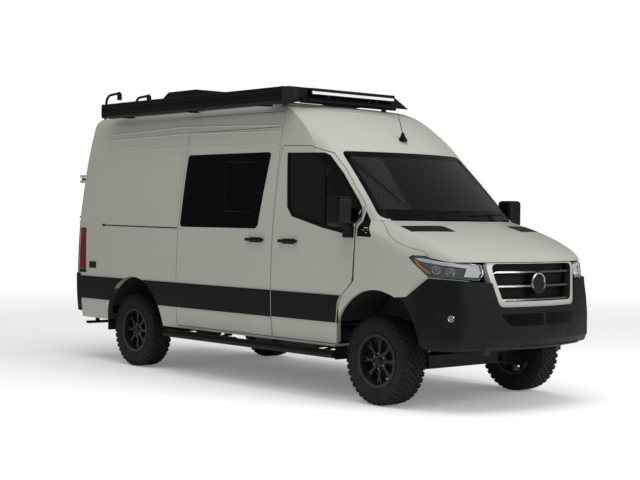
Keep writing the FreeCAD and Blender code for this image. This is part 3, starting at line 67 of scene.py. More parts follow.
# Directions in which a flat outline is laid on the body
INWARD = {
    "right": Vector((0.0, 1.0, 0.0)),
    "left": Vector((0.0, -1.0, 0.0)),
    "front": Vector((-1.0, 0.0, 0.0)),
    "rear": Vector((1.0, 0.0, 0.0)),
    "top": Vector((0.0, 0.0, -1.0)),
    "lamp_right": Vector((-0.700, 0.713, -0.04)).normalized(),
    "lamp_left": Vector((-0.700, -0.713, -0.04)).normalized(),
}
# Where flat outlines start: near a side panel, beyond either end, over the roof and ahead of the axle
SIDE_START = 0.95
END_START = 2.9
TOP_START = 2.4
LAMP_START = 0.6
# How far outside a point its ray to the skin starts
REACH = 1.6
# How far a trim that crosses from a panel onto its glass stands off the glass
GLASS_SET = 0.004


def linear(code):
    """The linear colour, with alpha, of an sRGB hex code."""
    parts = [int(code[index:index + 2], 16) / 255.0 for index in (1, 3, 5)]
    return (*(part / 12.92 if part <= 0.04045 else ((part + 0.055) / 1.055) ** 2.4 for part in parts), 1.0)


def colour_setting(name, description, code):
    """A colour that a user would change, from its sRGB hex code."""
    return bpy.props.FloatVectorProperty(name=name, description=description, subtype="COLOR",
                                         default=linear(code)[:3], min=0.0, max=1.0)


def length_setting(name, description, default, low, high):
    """A length in metres that a user would change."""
    return bpy.props.FloatProperty(name=name, description=description, subtype="DISTANCE", unit="LENGTH",
                                   default=default, min=low, max=high)


class VanColours(bpy.types.PropertyGroup):
    """Colours that a user would change."""
    paint: colour_setting("Body paint", "Basecoat colour of the body", "#B1B0A7")
    plastic: colour_setting("Moulded plastic", "Bumper and side cladding", "#0C0E10")
    wheel: colour_setting("Wheel enamel", "Enamel on the road wheels", "#090A0A")
    upholstery: colour_setting("Upholstery", "Cloth of the cab seats", "#3A3B3D")


class VanSizes(bpy.types.PropertyGroup):
    """Sizes that a user would change."""
    trim_proud: length_setting("Trim height", "How far a trim stands off its panel", 0.0016, 0.0005, 0.006)
    seam_radius: length_setting("Seam radius", "Half the width of a panel seam line", 0.0028, 0.001, 0.006)
    tread_depth: length_setting("Tread depth", "Height of the tyre's tread blocks", 0.012, 0.006, 0.02)
    tread_pitches: bpy.props.IntProperty(
        name="Tread pitches", description="Tread pattern repeats round one tyre", default=40, min=20, max=60)


# Materials
finishes = {}
# Periods that a wave texture of scale 1 has in a metre
WAVE_PERIODS = 20.0


def add_node(tree, kind, inputs=None, **settings):
    """Adds one node with its settings, and sets or links its inputs."""
    item = tree.nodes.new(kind)
    for name, value in settings.items():
        setattr(item, name, value)
    for key, source in (inputs or {}).items():
        if isinstance(source, bpy.types.NodeSocket):
            tree.links.new(source, item.inputs[key])
        else:
            item.inputs[key].default_value = source
    return item


def principled(name, **sockets):
    """A new material with one Principled shader, whose sockets take the given constants."""
    material = bpy.data.materials.new(name)
    material.use_nodes = True
    tree = material.node_tree
    tree.nodes.clear()
    shader = add_node(tree, "ShaderNodeBsdfPrincipled")
    add_node(tree, "ShaderNodeOutputMaterial", {"Surface": shader.outputs["BSDF"]})
    for key, value in sockets.items():
        shader.inputs[key.replace("_", " ")].default_value = value
    finishes[name] = material
    return tree, shader


def scaled(colour, factor):
    """A colour made lighter or darker."""
    return tuple(min(1.0, part * factor) for part in colour[:3]) + (1.0,)


def object_place(tree):
    """The object's own coordinates, in metres."""
    return add_node(tree, "ShaderNodeTexCoord").outputs["Object"]


def noise(tree, place, size, detail=4.0, distortion=0.0):
    """Cloudy noise whose features are about `size` millimetres across."""
    return add_node(tree, "ShaderNodeTexNoise", {"Vector": place, "Scale": 1000.0 / size, "Detail": detail,
                                                 "Distortion": distortion}).outputs["Fac"]


def blend(tree, factor, first, second):
    """A colour between two others."""
    mixed = add_node(tree, "ShaderNodeMix", {"Factor": factor, 6: first, 7: second}, data_type="RGBA")
    return mixed.outputs[2]


def maths(tree, operation, first, second, clamped=False):
    """The result of one operation on two values."""
    return add_node(tree, "ShaderNodeMath", {0: first, 1: second}, operation=operation,
                    use_clamp=clamped).outputs[0]


def remap(tree, value, low, high, start=0.0, end=1.0):
    """A value stretched so that `start` gives `low` and `end` gives `high`."""
    return add_node(tree, "ShaderNodeMapRange", {"Value": value, "From Min": start, "From Max": end,
                                                 "To Min": low, "To Max": high}).outputs[0]


def low_down(tree, place, amount, start, end):
    """Road film's share: none at the height `start` and `amount` at the height `end`, in metres."""
    return remap(tree, add_node(tree, "ShaderNodeSeparateXYZ", {"Vector": place}).outputs["Z"], 0.0, amount,
                 start, end)


def dress(tree, shader, tint, rough, height, distance, strength=1.0):
    """Gives the shader its colour, its roughness and a bump of a real height in metres."""
    bump = add_node(tree, "ShaderNodeBump", {"Height": height, "Distance": distance, "Strength": strength})
    tree.links.new(tint, shader.inputs["Base Color"])
    tree.links.new(rough, shader.inputs["Roughness"])
    tree.links.new(bump.outputs["Normal"], shader.inputs["Normal"])


def textured(name, colour, rough, grain, height, patch, vary, dust=None, **sockets):
    """A surface whose grain, in millimetres, shows in colour, roughness and bump.

    `patch` is the size of its broad colour variation, and `dust` a colour that gathers low down.
    """
    tree, shader = principled(name, **sockets)
    place = object_place(tree)
    fine = noise(tree, place, grain)
    broad = noise(tree, place, patch, 3.0)
    tint = blend(tree, broad, scaled(colour, 1.0 - vary), scaled(colour, 1.0 + vary))
    if dust:
        amount = maths(tree, "MULTIPLY", low_down(tree, place, 0.45, 0.75, 0.05), broad)
        tint = blend(tree, amount, tint, dust)
    dress(tree, shader, tint, remap(tree, fine, *rough, 0.3, 0.7), fine, height / 1000.0)


def body_paint(colour):
    """Solid basecoat under clear lacquer, with dark trim board on the panels' inner faces, which is also
    painted shade inside the body.

    The lacquer gives a sharp soft-edged gloss over an even colour, the faint orange-peel waves break up
    reflections, and road film dulls the sills. Inner faces are dark, partly as lined panels are and partly as
    painted shade inside the body.
    """
    tree, shader = principled("basecoat_clear_lacquer", Coat_Weight=0.7, Coat_Roughness=0.06, IOR=1.5)
    coords = add_node(tree, "ShaderNodeTexCoord")
    place = coords.outputs["Object"]
    from_middle = add_node(tree, "ShaderNodeVectorMath", {0: place, 1: (0.0, 0.0, 1.35)},
                           operation="SUBTRACT")
    flattened = add_node(tree, "ShaderNodeVectorMath", {0: from_middle.outputs[0], 1: (0.25, 1.0, 0.8)},
                         operation="MULTIPLY")
    facing = add_node(tree, "ShaderNodeVectorMath", {0: flattened.outputs[0], 1: coords.outputs["Normal"]},
                      operation="DOT_PRODUCT").outputs["Value"]
    inside = maths(tree, "LESS_THAN", facing, -0.02)
    film = noise(tree, place, 420.0, 6.0)
    sill_film = maths(tree, "MULTIPLY", low_down(tree, place, 0.55, 0.95, 0.40), film)
    tint = blend(tree, film, scaled(colour, 0.98), scaled(colour, 1.02))
    filmed = blend(tree, sill_film, tint, linear("#8E887B"))
    # Inner faces take dark grey: partly the lining's colour, partly painted shade inside the body
    both = blend(tree, inside, filmed, linear("#3B3C3D"))
    dress(tree, shader, both, remap(tree, film, 0.34, 0.46), noise(tree, place, 9.0, 2.0), 0.00012)


def woven_cloth(name, colour, thread):
    """Woven seat cloth: crossed threads of a real pitch, raised, with painted highlight on the raised threads
    and painted shade between them, and soft sheen.
    """
    tree, shader = principled(name, Sheen_Weight=0.3, Sheen_Roughness=0.5, IOR=1.45)
    place = object_place(tree)
    wave = {"Vector": place, "Scale": 1000.0 / thread / WAVE_PERIODS, "Distortion": 0.4}
    warp, weft = (add_node(tree, "ShaderNodeTexWave", wave, bands_direction=way).outputs["Fac"]
                  for way in ("Y", "DIAGONAL"))
    weave = maths(tree, "MAXIMUM", warp, weft)
    wear = noise(tree, place, 1000.0 / 9.0, 5.0)
    # Painted highlight on the raised threads and painted shade between them, varied by wear
    tint = blend(tree, maths(tree, "MULTIPLY", weave, wear), scaled(colour, 0.72), scaled(colour, 1.25))
    dress(tree, shader, tint, remap(tree, wear, 0.8, 0.95), weave, 0.0006, 0.8)


def glazing(name, colour, transmission=1.0, roughness=0.0, **sockets):
    """Float glass: clean and glossy, with a tint through its thickness that varies a little over the pane."""
    tree, shader = principled(name, IOR=1.5, Transmission_Weight=transmission, Roughness=roughness, **sockets)
    depth = noise(tree, object_place(tree), 1000.0 / 1.5, 2.0)
    tint = blend(tree, depth, scaled(colour, 0.97), scaled(colour, 1.03))
    tree.links.new(tint, shader.inputs["Base Color"])


def honeycomb_mesh(colour):
    """Injection-moulded grille mesh: hexagonal cells of 14 mm, whose holes are not cut but painted near-black
    as painted shade, between satin webs.
    """
    tree, shader = principled("moulded_grille_mesh", Specular_IOR_Level=0.3)
    flat = add_node(tree, "ShaderNodeMapping", {"Vector": object_place(tree), "Scale": (0.0, 1.0, 1.0)})
    cells = add_node(tree, "ShaderNodeTexVoronoi", {"Vector": flat.outputs[0], "Scale": 1000.0 / 16.0,
                                                    "Randomness": 0.0}, feature="F1")
    web = remap(tree, cells.outputs["Distance"], 0.0, 1.0, 0.30, 0.42)
    # Near-black cells are painted shade where the holes would show the dark behind the grille
    dress(tree, shader, blend(tree, web, linear("#050506"), colour), remap(tree, web, 0.9, 0.45), web, 0.004)


def laminate_board():
    """Birch plywood with a clear varnish: long pale grain streaks along the van and a soft sheen."""
    tree, shader = principled("varnished_birch_plywood", Coat_Weight=0.2, Coat_Roughness=0.3)
    stretched = add_node(tree, "ShaderNodeMapping", {"Vector": object_place(tree),
                                                     "Scale": (1.5, 24.0, 24.0)})
    grain = noise(tree, stretched.outputs[0], 1000.0, 8.0, 0.6)
    tint = blend(tree, grain, linear("#B08C60"), linear("#D9BE94"))
    dress(tree, shader, tint, remap(tree, grain, 0.35, 0.55), grain, 0.0003, 0.6)


def make_materials(colours):
    """Every finish on the van, from what each real piece is made of."""
    paint = tuple(colours.paint) + (1.0,)
    plastic = tuple(colours.plastic) + (1.0,)
    wheel = tuple(colours.wheel) + (1.0,)
    cloth = tuple(colours.upholstery) + (1.0,)
    road_dust = linear("#4A463F")
    body_paint(paint)
    woven_cloth("woven_seat_cloth", cloth, 2.4)
    honeycomb_mesh(linear("#1B1C1E"))
    laminate_board()
    # Grained polypropylene: fine leather-like grain keeps it matt, and its charcoal greys with road dust
    textured("grained_polypropylene", plastic, (0.5, 0.66), 2.2, 0.12, 260.0, 0.10, road_dust,
             Specular_IOR_Level=0.2)
    # Black ABS, gloss moulded: smooth, with small soft highlights
    textured("gloss_black_abs", linear("#08090A"), (0.10, 0.16), 6.0, 0.01, 200.0, 0.05,
             Specular_IOR_Level=0.22)
    # Black ABS, satin moulded: mirror shells, handles and lamp housings
    textured("satin_black_abs", linear("#0D0E10"), (0.34, 0.46), 1.2, 0.03, 160.0, 0.08,
             Specular_IOR_Level=0.25)
    # Powder-coated steel: a fine pebbled skin with blurred highlights
    textured("black_powder_coat", linear("#090A0B"), (0.42, 0.58), 1.6, 0.06, 220.0, 0.12,
             Specular_IOR_Level=0.2)
    # Cataphoretic primer on pressed steel: chassis black, dulled by road dust
    textured("primed_chassis_steel", linear("#1B1C1D"), (0.5, 0.7), 3.0, 0.10, 240.0, 0.15, road_dust)
    # Bare cast iron: pitted, dark and slightly brown
    textured("sand_cast_iron", linear("#34312E"), (0.55, 0.75), 1.8, 0.20, 90.0, 0.20,
             road_dust, Metallic=0.6)
    # Turned steel: brake discs and the ladder's fixings, with a brushed grey gloss
    textured("machined_steel", linear("#8E8F90"), (0.25, 0.4), 0.8, 0.02, 60.0, 0.10, Metallic=1.0)
    # Satin chrome plate: grille bars and lamp blades, bright with a soft grey reflection
    textured("satin_chrome_plate", linear("#A9ACAE"), (0.16, 0.24), 1.0, 0.01, 120.0, 0.04, Metallic=1.0)
    # Stove enamel on cast aluminium: black road wheels with a light gloss and brake dust
    textured("stoved_wheel_enamel", wheel, (0.3, 0.42), 1.4, 0.04, 90.0, 0.15, road_dust, Coat_Weight=0.1,
             Coat_Roughness=0.2, Specular_IOR_Level=0.3)
    # Vulcanised rubber: dry, matt and slightly grey at the edges
    textured("vulcanised_rubber", linear("#151516"), (0.72, 0.88), 1.2, 0.10, 70.0, 0.16, road_dust,
             Specular_IOR_Level=0.25)
    # Soft-touch polyurethane: dashboard and inner trim
    textured("soft_touch_trim", linear("#232527"), (0.6, 0.75), 1.4, 0.08, 150.0, 0.08)
    # Glass-reinforced plastic: roof unit and its cover, off-white with a gel-coat gloss
    textured("gelcoat_plastic", linear("#D6D7D5"), (0.3, 0.42), 4.0, 0.05, 220.0, 0.05)
    # Acrylic moulding, red: tail lamps, clear-looking skin over a deep colour
    textured("red_acrylic_lens", linear("#6A0509"), (0.10, 0.16), 8.0, 0.05, 60.0, 0.12, Coat_Weight=0.2,
             Coat_Roughness=0.05)
    # Acrylic moulding, amber: side reflectors
    textured("amber_acrylic_lens", linear("#D8701B"), (0.12, 0.2), 5.0, 0.10, 40.0, 0.12, Coat_Weight=0.8,
             Coat_Roughness=0.05)
    # Diffusing acrylic: daytime running light guides, white and even
    textured("diffusing_acrylic", linear("#EDEFF0"), (0.25, 0.35), 3.0, 0.02, 80.0, 0.02)
    # Blue-black anti-glare moulding inside the headlamps
    textured("lamp_bezel_abs", linear("#39414A"), (0.18, 0.28), 2.5, 0.03, 60.0, 0.12, Coat_Weight=0.3)
    # Enamelled plate blank: white, plain and slightly glossy
    textured("enamelled_plate_blank", linear("#C9CBC8"), (0.3, 0.4), 3.0, 0.02, 120.0, 0.04)
    # Laminated windscreen glass, green-grey tint, darkened well past a real windscreen's as painted shade for
    # the cab behind it
    glazing("laminated_glass", linear("#5C6260"), Specular_IOR_Level=0.18)
    # Toughened door glass, tinted grey, and darkened almost to black as painted shade for the cab behind it
    glazing("tinted_door_glass_and_painted_shade", linear("#15181A"), Specular_IOR_Level=0.12)
    # Privacy glass: dyed dark and made opaque, its near black partly dye and partly painted shade for the
    # van's inside, so that only its gloss shows
    glazing("dyed_privacy_glass_and_painted_shade", linear("#060709"), 0.0, 0.04, Specular_IOR_Level=0.07)
    # Optical glass of the headlamp projectors, bluish and nearly solid to the eye
    textured("projector_glass", linear("#5F707E"), (0.04, 0.08), 6.0, 0.01, 40.0, 0.05, Coat_Weight=0.8,
             Coat_Roughness=0.03)
    # Silvered mirror behind clear glass
    textured("silvered_mirror", linear("#C4C9CC"), (0.03, 0.05), 10.0, 0.005, 120.0, 0.02, Metallic=1.0)
    # Polycarbonate lamp cover, hard coated
    glazing("hard_coated_polycarbonate", linear("#F2F5F6"))


def pair(node):
    """The names of a right and a left node."""
    return [node + "_right", node + "_left"]


NODE_FINISHES = {
    "basecoat_clear_lacquer": [*pair("side_panel"), *pair("front_door"), *pair("rear_door"), "roof_panel",
                               "front_wings", "bonnet", "sliding_door", "grille_surround"],
    "grained_polypropylene": ["front_bumper", "side_cladding", "rear_bumper"],
    "satin_black_abs": pair("mirror"),
    "moulded_grille_mesh": ["grille"],
    "laminated_glass": ["windscreen"],
    "tinted_door_glass_and_painted_shade": pair("door_glass"),
    "dyed_privacy_glass_and_painted_shade": ["side_windows", *pair("rear_glass")],
    "lamp_bezel_abs": ["headlamps"],
    "red_acrylic_lens": ["tail_lamps"],
    "black_powder_coat": ["ladder", "roof_rack", "running_boards", "light_bar", "awning", "roof_unit"],
    "primed_chassis_steel": ["floor_pan", "chassis_frame", "underbody_units"],
    "sand_cast_iron": ["engine", "front_suspension", "rear_axle", *pair("knuckle")],
    "soft_touch_trim": ["dashboard"],
    "woven_seat_cloth": ["cab_seats"],
    "varnished_birch_plywood": ["camper_furniture"],
    "stoved_wheel_enamel": ["wheel_" + place for place in WHEELS],
    "vulcanised_rubber": ["tyre_" + place for place in WHEELS],
}


# Shapes
def soften(bm, edges, width, steps):
    """Rounds edges over."""
    bmesh.ops.bevel(bm, geom=edges, offset=width, segments=steps, profile=0.5, affect="EDGES", material=-1)


def edges_of(verts):
    """The edges that meet in these points, each once and always in the same order."""
    return list(dict.fromkeys(edge for vert in verts for edge in vert.link_edges))


def box_part(bm, low, high, round_by, steps=2):
    """A block between two corners, with rounded edges."""
    low = Vector(low)
    high = Vector(high)
    place = Matrix.Translation((low + high) / 2.0) @ Matrix.Diagonal((*(high - low), 1.0))
    made = bmesh.ops.create_cube(bm, size=1.0, matrix=place)["verts"]
    soften(bm, edges_of(made), round_by, steps)


def rod_part(bm, start, end, radius, end_radius=None, steps=20, round_by=0.0):
    """A round bar or cone between two points."""
    start = Vector(start)
    end = Vector(end)
    along = end - start
    place = Matrix.Translation((start + end) / 2.0) @ along.to_track_quat("Z", "Y").to_matrix().to_4x4()
    made = bmesh.ops.create_cone(bm, cap_ends=True, segments=steps, radius1=radius, depth=along.length,
                                 radius2=radius if end_radius is None else end_radius, matrix=place)["verts"]
    if round_by:
        ends = [edge for edge in edges_of(made) if any(len(face.verts) > 4 for face in edge.link_faces)]
        soften(bm, ends, round_by, 2)


def lathe_part(bm, profile, centre, axis, steps):
    """Spins a profile of (distance from the axis, distance along it) into a round form."""
    axis = Vector(axis).normalized()
    centre = Vector(centre)
    outward = axis.orthogonal().normalized()
    verts = [bm.verts.new(centre + outward * radius + axis * along) for radius, along in profile]
    edges = [bm.edges.new(pair) for pair in zip(verts, verts[1:])]
    bmesh.ops.spin(bm, geom=verts + edges, cent=centre, axis=axis, angle=math.tau, steps=steps,
                   use_merge=True)


def tube_part(bm, points, radius):
    """A tube with straight runs through points, made by a bevelled curve."""
    curve = bpy.data.curves.new("tube", "CURVE")
    curve.dimensions = "3D"
    curve.bevel_depth = radius
    curve.bevel_resolution = 1
    curve.use_fill_caps = True
    spline = curve.splines.new("POLY")
    spline.points.add(len(points) - 1)
    for point, place in zip(spline.points, points):
        point.co = (*place, 1.0)
    carrier_object = bpy.data.objects.new("tube", curve)
    mesh = bpy.data.meshes.new_from_object(carrier_object)
    bm.from_mesh(mesh)
    bpy.data.meshes.remove(mesh)
    bpy.data.objects.remove(carrier_object)
    bpy.data.curves.remove(curve)


def merge_into(target, source):
    """Copies one working mesh into another and frees it."""
    mesh = bpy.data.meshes.new("merge")
    source.to_mesh(mesh)
    source.free()
    target.from_mesh(mesh)
    bpy.data.meshes.remove(mesh)


def skin_of(*nodes):
    """Ray-cast tree of CAD nodes, which trims are laid on."""
    joined = bmesh.new()
    for node in nodes:
        joined.from_mesh(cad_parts[node].data)
    tree = BVHTree.FromBMesh(joined)
    joined.free()
    return tree


def on_skin(tree, point, inward, lift):
    """The point where a ray meets the skin, lifted off it; the ray starts well outside."""
    start = Vector(point) - inward * REACH
    hit = tree.ray_cast(start, inward)[0]
    if hit is None:
        hit = tree.find_nearest(Vector(point))[0]
    return hit - inward * lift


def on_layers(layers, point, inward, lift):
    """The outermost of a ray's hits on several skins, each with its own extra lift."""
    start = Vector(point) - inward * REACH
    found = []
    for tree, extra in layers:
        hit = tree.ray_cast(start, inward)[0]
        if hit is not None:
            found.append(hit - inward * (lift + extra))
    if found:
        return min(found, key=lambda place: place.dot(inward))
    return layers[0][0].find_nearest(Vector(point))[0] - inward * lift


def flat_place(view, first, second):
    """A point of an outline, drawn flat in one of the views, put outside the body."""
    if view in ("right", "left"):
        return Vector((AXLE_X + first, SIDE_START * SIDES[view], second))
    if view == "front":
        return Vector((END_START, first, second))
    if view == "rear":
        return Vector((-END_START, first, second))
    if view == "top":
        return Vector((AXLE_X + first, second, TOP_START))
    return Vector((AXLE_X + LAMP_START, first, second))


# The signs that keep a right-hand outline on its half or mirror it to the left
HALVES = (("right", 1.0), ("left", -1.0))


def mirrored_by(sign, outline):
    """An outline, drawn for one half of the van, kept there or mirrored by the sign."""
    return [(across * sign, height) for across, height in outline]


def oblong(left, right, low, high):
    """A rectangle's outline in one of the views."""
    return [(left, low), (right, low), (right, high), (left, high)]


def patch_part(bm, tree, view, outline, lift, depth=0.004, corner=0.0, cell=0.05, holes=(), glass=None):
    """A closed shell laid on the skin, from an outline drawn flat in one of the views.

    It stands `lift` off the skin and reaches `depth` into it. `holes` are outlines left open, and
    `glass` is the skin of a pane set 4 mm deeper, which the shell bridges.
    """
    inward = INWARD[view]
    work = bmesh.new()
    for loop in [outline, *holes]:
        face = work.faces.new([work.verts.new(flat_place(view, *point)) for point in loop])
        if corner:
            bmesh.ops.bevel(work, geom=list(face.verts), offset=corner, segments=4, profile=0.5,
                            affect="VERTICES", material=-1)
    if holes:
        bmesh.ops.delete(work, geom=list(work.faces), context="FACES_ONLY")
        bmesh.ops.triangle_fill(work, edges=list(work.edges), use_beauty=True)
    cutters = [axis for axis in (Vector((1, 0, 0)), Vector((0, 1, 0)), Vector((0, 0, 1)))
               if abs(axis.dot(inward)) < 0.9]
    for axis in cutters:
        reach = [vert.co.dot(axis) for vert in work.verts]
        for index in range(math.floor(min(reach) / cell) + 1, math.ceil(max(reach) / cell)):
            bmesh.ops.bisect_plane(work, geom=list(work.verts) + list(work.edges) + list(work.faces),
                                   plane_co=axis * index * cell, plane_no=axis, dist=1e-6)
    for vert in work.verts:
        if glass is None:
            vert.co = on_skin(tree, vert.co, inward, lift)
        else:
            vert.co = on_layers([(tree, 0.0), (glass, GLASS_SET)], vert.co, inward, lift)
    top = bmesh.ops.extrude_face_region(work, geom=list(work.faces))["geom"]
    pushed = [item for item in top if isinstance(item, bmesh.types.BMVert)]
    bmesh.ops.translate(work, verts=pushed, vec=inward * (lift + depth))
    bmesh.ops.recalc_face_normals(work, faces=list(work.faces))
    merge_into(bm, work)


def seam_part(bm, tree, view, route, radius, sunk=0.5, pace=0.06, closed=False):
    """A thin line along the skin, such as a panel joint or a crease, sunk by a share of its radius."""
    inward = INWARD[view]
    corners = [flat_place(view, *point) for point in route]
    if closed:
        corners.append(corners[0])
    points = [on_skin(tree, corners[0], inward, -radius * sunk)]
    for start, end in zip(corners, corners[1:]):
        count = max(1, round((end - start).length / pace))
        for index in range(1, count + 1):
            points.append(on_skin(tree, start.lerp(end, index / count), inward, -radius * sunk))
    tube_part(bm, points, radius)


def make_piece(name, bm, finish, body="van_body", sharp=32.0, stands_for=()):
    """Turns a mesh into a named object with its finish, which rides on a body."""
    bmesh.ops.remove_doubles(bm, verts=list(bm.verts), dist=1e-6)
    bmesh.ops.recalc_face_normals(bm, faces=list(bm.faces))
    mesh = bpy.data.meshes.new(name)
    bm.to_mesh(mesh)
    bm.free()
    mesh.materials.append(finishes[finish])
    mesh.polygons.foreach_set("use_smooth", [True] * len(mesh.polygons))
    mesh.set_sharp_from_angle(angle=math.radians(sharp))
    piece = bpy.data.objects.new(name, mesh)
    bpy.context.scene.collection.objects.link(piece)
    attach(piece, body)
    if stands_for:
        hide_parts(*stands_for)


# Stage
CAMERA_PLACE = Vector((10.107, -8.696, 1.570))
CAMERA_YAW = math.radians(48.957)
CAMERA_PITCH = math.radians(0.953)
CAMERA_ROLL = math.radians(0.719)
FOCAL_PIXELS = 1342.14
PHOTO_WIDTH = 640.0
SENSOR_WIDTH = 36.0

# Strength of the world as light, what glossy rays lose of it, and the floor's glow
WORLD_LIGHT = 0.53
GLOSS_DIMMING = 0.36
FLOOR_GLOW = 0.16
FLOOR_RADIUS = 16.0
# Distances from the middle between which the floor fades out
FADE_START = 6.0
FADE_END = 15.0
# Name, place, the point it looks at, size, power in watts, and whether gloss mirrors it
SOFTBOXES = (
    ("overhead_softbox", (2.0, -1.0, 9.0), (0.0, 0.0, 1.0), (9.0, 7.0), 470.0, False),
    ("front_softbox", (11.0, 3.0, 5.0), (1.5, 0.0, 1.2), (5.0, 4.0), 400.0, True),
)


def add_camera():
    """The photograph's viewpoint, fitted to the wheels and panel joints."""
    data = bpy.data.cameras.new("photo_camera")
    data.sensor_width = SENSOR_WIDTH
    data.lens = FOCAL_PIXELS / PHOTO_WIDTH * SENSOR_WIDTH
    camera = bpy.data.objects.new("photo_camera", data)
    back = Vector((math.sin(CAMERA_YAW) * math.cos(CAMERA_PITCH),
                   -math.cos(CAMERA_YAW) * math.cos(CAMERA_PITCH), math.sin(CAMERA_PITCH)))
    right = (-back).cross(Vector((0, 0, 1))).normalized()
    up = right.cross(-back)
    turned_right = math.cos(CAMERA_ROLL) * right + math.sin(CAMERA_ROLL) * up
    turned_up = -math.sin(CAMERA_ROLL) * right + math.cos(CAMERA_ROLL) * up
    turn = Matrix((turned_right, turned_up, back)).transposed().to_4x4()
    camera.matrix_world = Matrix.Translation(CAMERA_PLACE) @ turn
    bpy.context.scene.collection.objects.link(camera)
    bpy.context.scene.camera = camera


def add_world():
    """White where the camera looks and through glass, a soft grey as light, and dimmer in gloss."""
    world = bpy.data.worlds.new("studio")
    world.use_nodes = True
    tree = world.node_tree
    tree.nodes.clear()
    path = add_node(tree, "ShaderNodeLightPath")
    seen = maths(tree, "ADD", path.outputs["Is Camera Ray"], path.outputs["Is Transmission Ray"],
                 clamped=True)
    dimmed = maths(tree, "MULTIPLY", path.outputs["Is Glossy Ray"], GLOSS_DIMMING)
    strength = maths(tree, "SUBTRACT", remap(tree, seen, WORLD_LIGHT, 1.0), dimmed)
    background = add_node(tree, "ShaderNodeBackground", {"Color": (1.0, 1.0, 1.0, 1.0), "Strength": strength})
    add_node(tree, "ShaderNodeOutputWorld", {"Surface": background.outputs[0]})
    bpy.context.scene.world = world


def add_floor():
    """Pale painted floor, seen white, that keeps the van's shadow and fades out far away."""
    material = bpy.data.materials.new("pale_studio_floor")
    material.use_nodes = True
    tree = material.node_tree
    tree.nodes.clear()
    distance = add_node(tree, "ShaderNodeVectorMath", {0: object_place(tree)}, operation="LENGTH")
    fade = remap(tree, distance.outputs["Value"], 0.0, 1.0, FADE_START, FADE_END)
    path = add_node(tree, "ShaderNodeLightPath")
    lift = maths(tree, "MULTIPLY", path.outputs["Is Camera Ray"], FLOOR_GLOW)
    matt = add_node(tree, "ShaderNodeBsdfDiffuse", {"Color": linear("#F4F4F3")})
    glow = add_node(tree, "ShaderNodeEmission", {"Strength": lift})
    lit = add_node(tree, "ShaderNodeAddShader", {0: matt.outputs[0], 1: glow.outputs[0]})
    clear = add_node(tree, "ShaderNodeBsdfTransparent")
    mixed = add_node(tree, "ShaderNodeMixShader", {"Fac": fade, 1: lit.outputs[0], 2: clear.outputs[0]})
    add_node(tree, "ShaderNodeOutputMaterial", {"Surface": mixed.outputs[0]})
    bm = bmesh.new()
    bmesh.ops.create_circle(bm, cap_ends=True, segments=96, radius=FLOOR_RADIUS)
    mesh = bpy.data.meshes.new("studio_floor")
    bm.to_mesh(mesh)
    bm.free()
    mesh.materials.append(material)
    floor = bpy.data.objects.new("studio_floor", mesh)
    bpy.context.scene.collection.objects.link(floor)


def add_lamp(name, place, target, size, watts, mirrored):
    """A large soft lamp that looks at a point, and may be left out of reflections."""
    data = bpy.data.lights.new(name, "AREA")
    data.shape = "RECTANGLE"
    data.size = size[0]
    data.size_y = size[1]
    data.energy = watts
    lamp = bpy.data.objects.new(name, data)
    aim = (Vector(target) - Vector(place)).to_track_quat("-Z", "Y").to_matrix().to_4x4()
    lamp.matrix_world = Matrix.Translation(Vector(place)) @ aim
    lamp.visible_glossy = mirrored
    bpy.context.scene.collection.objects.link(lamp)


class VAN_OT_stage(bpy.types.Operator):
    """Sets the camera, the floor, the lamps and the view"""
    bl_idname = "van.stage"
    bl_label = "Stage"

    def execute(self, context):
        add_camera()
        add_world()
        add_floor()
        for softbox in SOFTBOXES:
            add_lamp(*softbox)
        context.scene.view_settings.view_transform = "Standard"
        return {"FINISHED"}


class VAN_OT_finishes(bpy.types.Operator):
    """Gives every CAD node its finish"""
    bl_idname = "van.finishes"
    bl_label = "Finishes"

    def execute(self, context):
        make_materials(context.scene.van_colours)
        for finish, nodes in NODE_FINISHES.items():
            for node in nodes:
                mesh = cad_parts[node].data
                if not mesh.materials:
                    mesh.materials.append(None)
                for index in range(len(mesh.materials)):
                    mesh.materials[index] = finishes[finish]
        return {"FINISHED"}


# Outlines in the side views (from the front axle, height), and the last two in the front view
DOOR_RING = [(-1.286, 2.158), (-1.206, 1.662), (-1.130, 1.580), (-0.706, 1.484), (-0.342, 1.424),
             (-0.292, 1.414), (-0.292, 1.662), (-0.342, 1.724), (-0.568, 1.964), (-0.746, 2.124),
             (-0.804, 2.148)]
DOOR_RING_HOLE = [(-1.110, 1.612), (-1.178, 1.680), (-1.258, 2.142), (-0.980, 2.138), (-0.758, 2.085),
                  (-0.589, 1.945), (-0.366, 1.706), (-0.318, 1.655), (-0.318, 1.462), (-0.345, 1.455),
                  (-0.706, 1.513)]
DOOR_DIVIDER = [(-0.757, 2.100), (-0.733, 2.094), (-0.657, 1.492), (-0.681, 1.498)]
FOOT_TRIANGLE = [(-0.246, 1.633), (-0.184, 1.555), (-0.125, 1.484), (-0.074, 1.426), (-0.085, 1.412),
                 (-0.246, 1.418)]
POST_WEDGE = [(-1.518, 2.168), (-1.501, 2.168), (-1.544, 1.560), (-1.597, 1.498), (-1.611, 1.498)]
SLIDER = [(-2.152, 1.622), (-2.205, 2.094), (-1.768, 2.084), (-1.717, 1.615)]
SCREEN_BORDER = [(-0.818, 1.578), (0.818, 1.578), (0.742, 2.156), (-0.742, 2.156)]
SCREEN_HOLE = [(-0.772, 1.648), (0.772, 1.648), (0.706, 2.118), (-0.706, 2.118)]


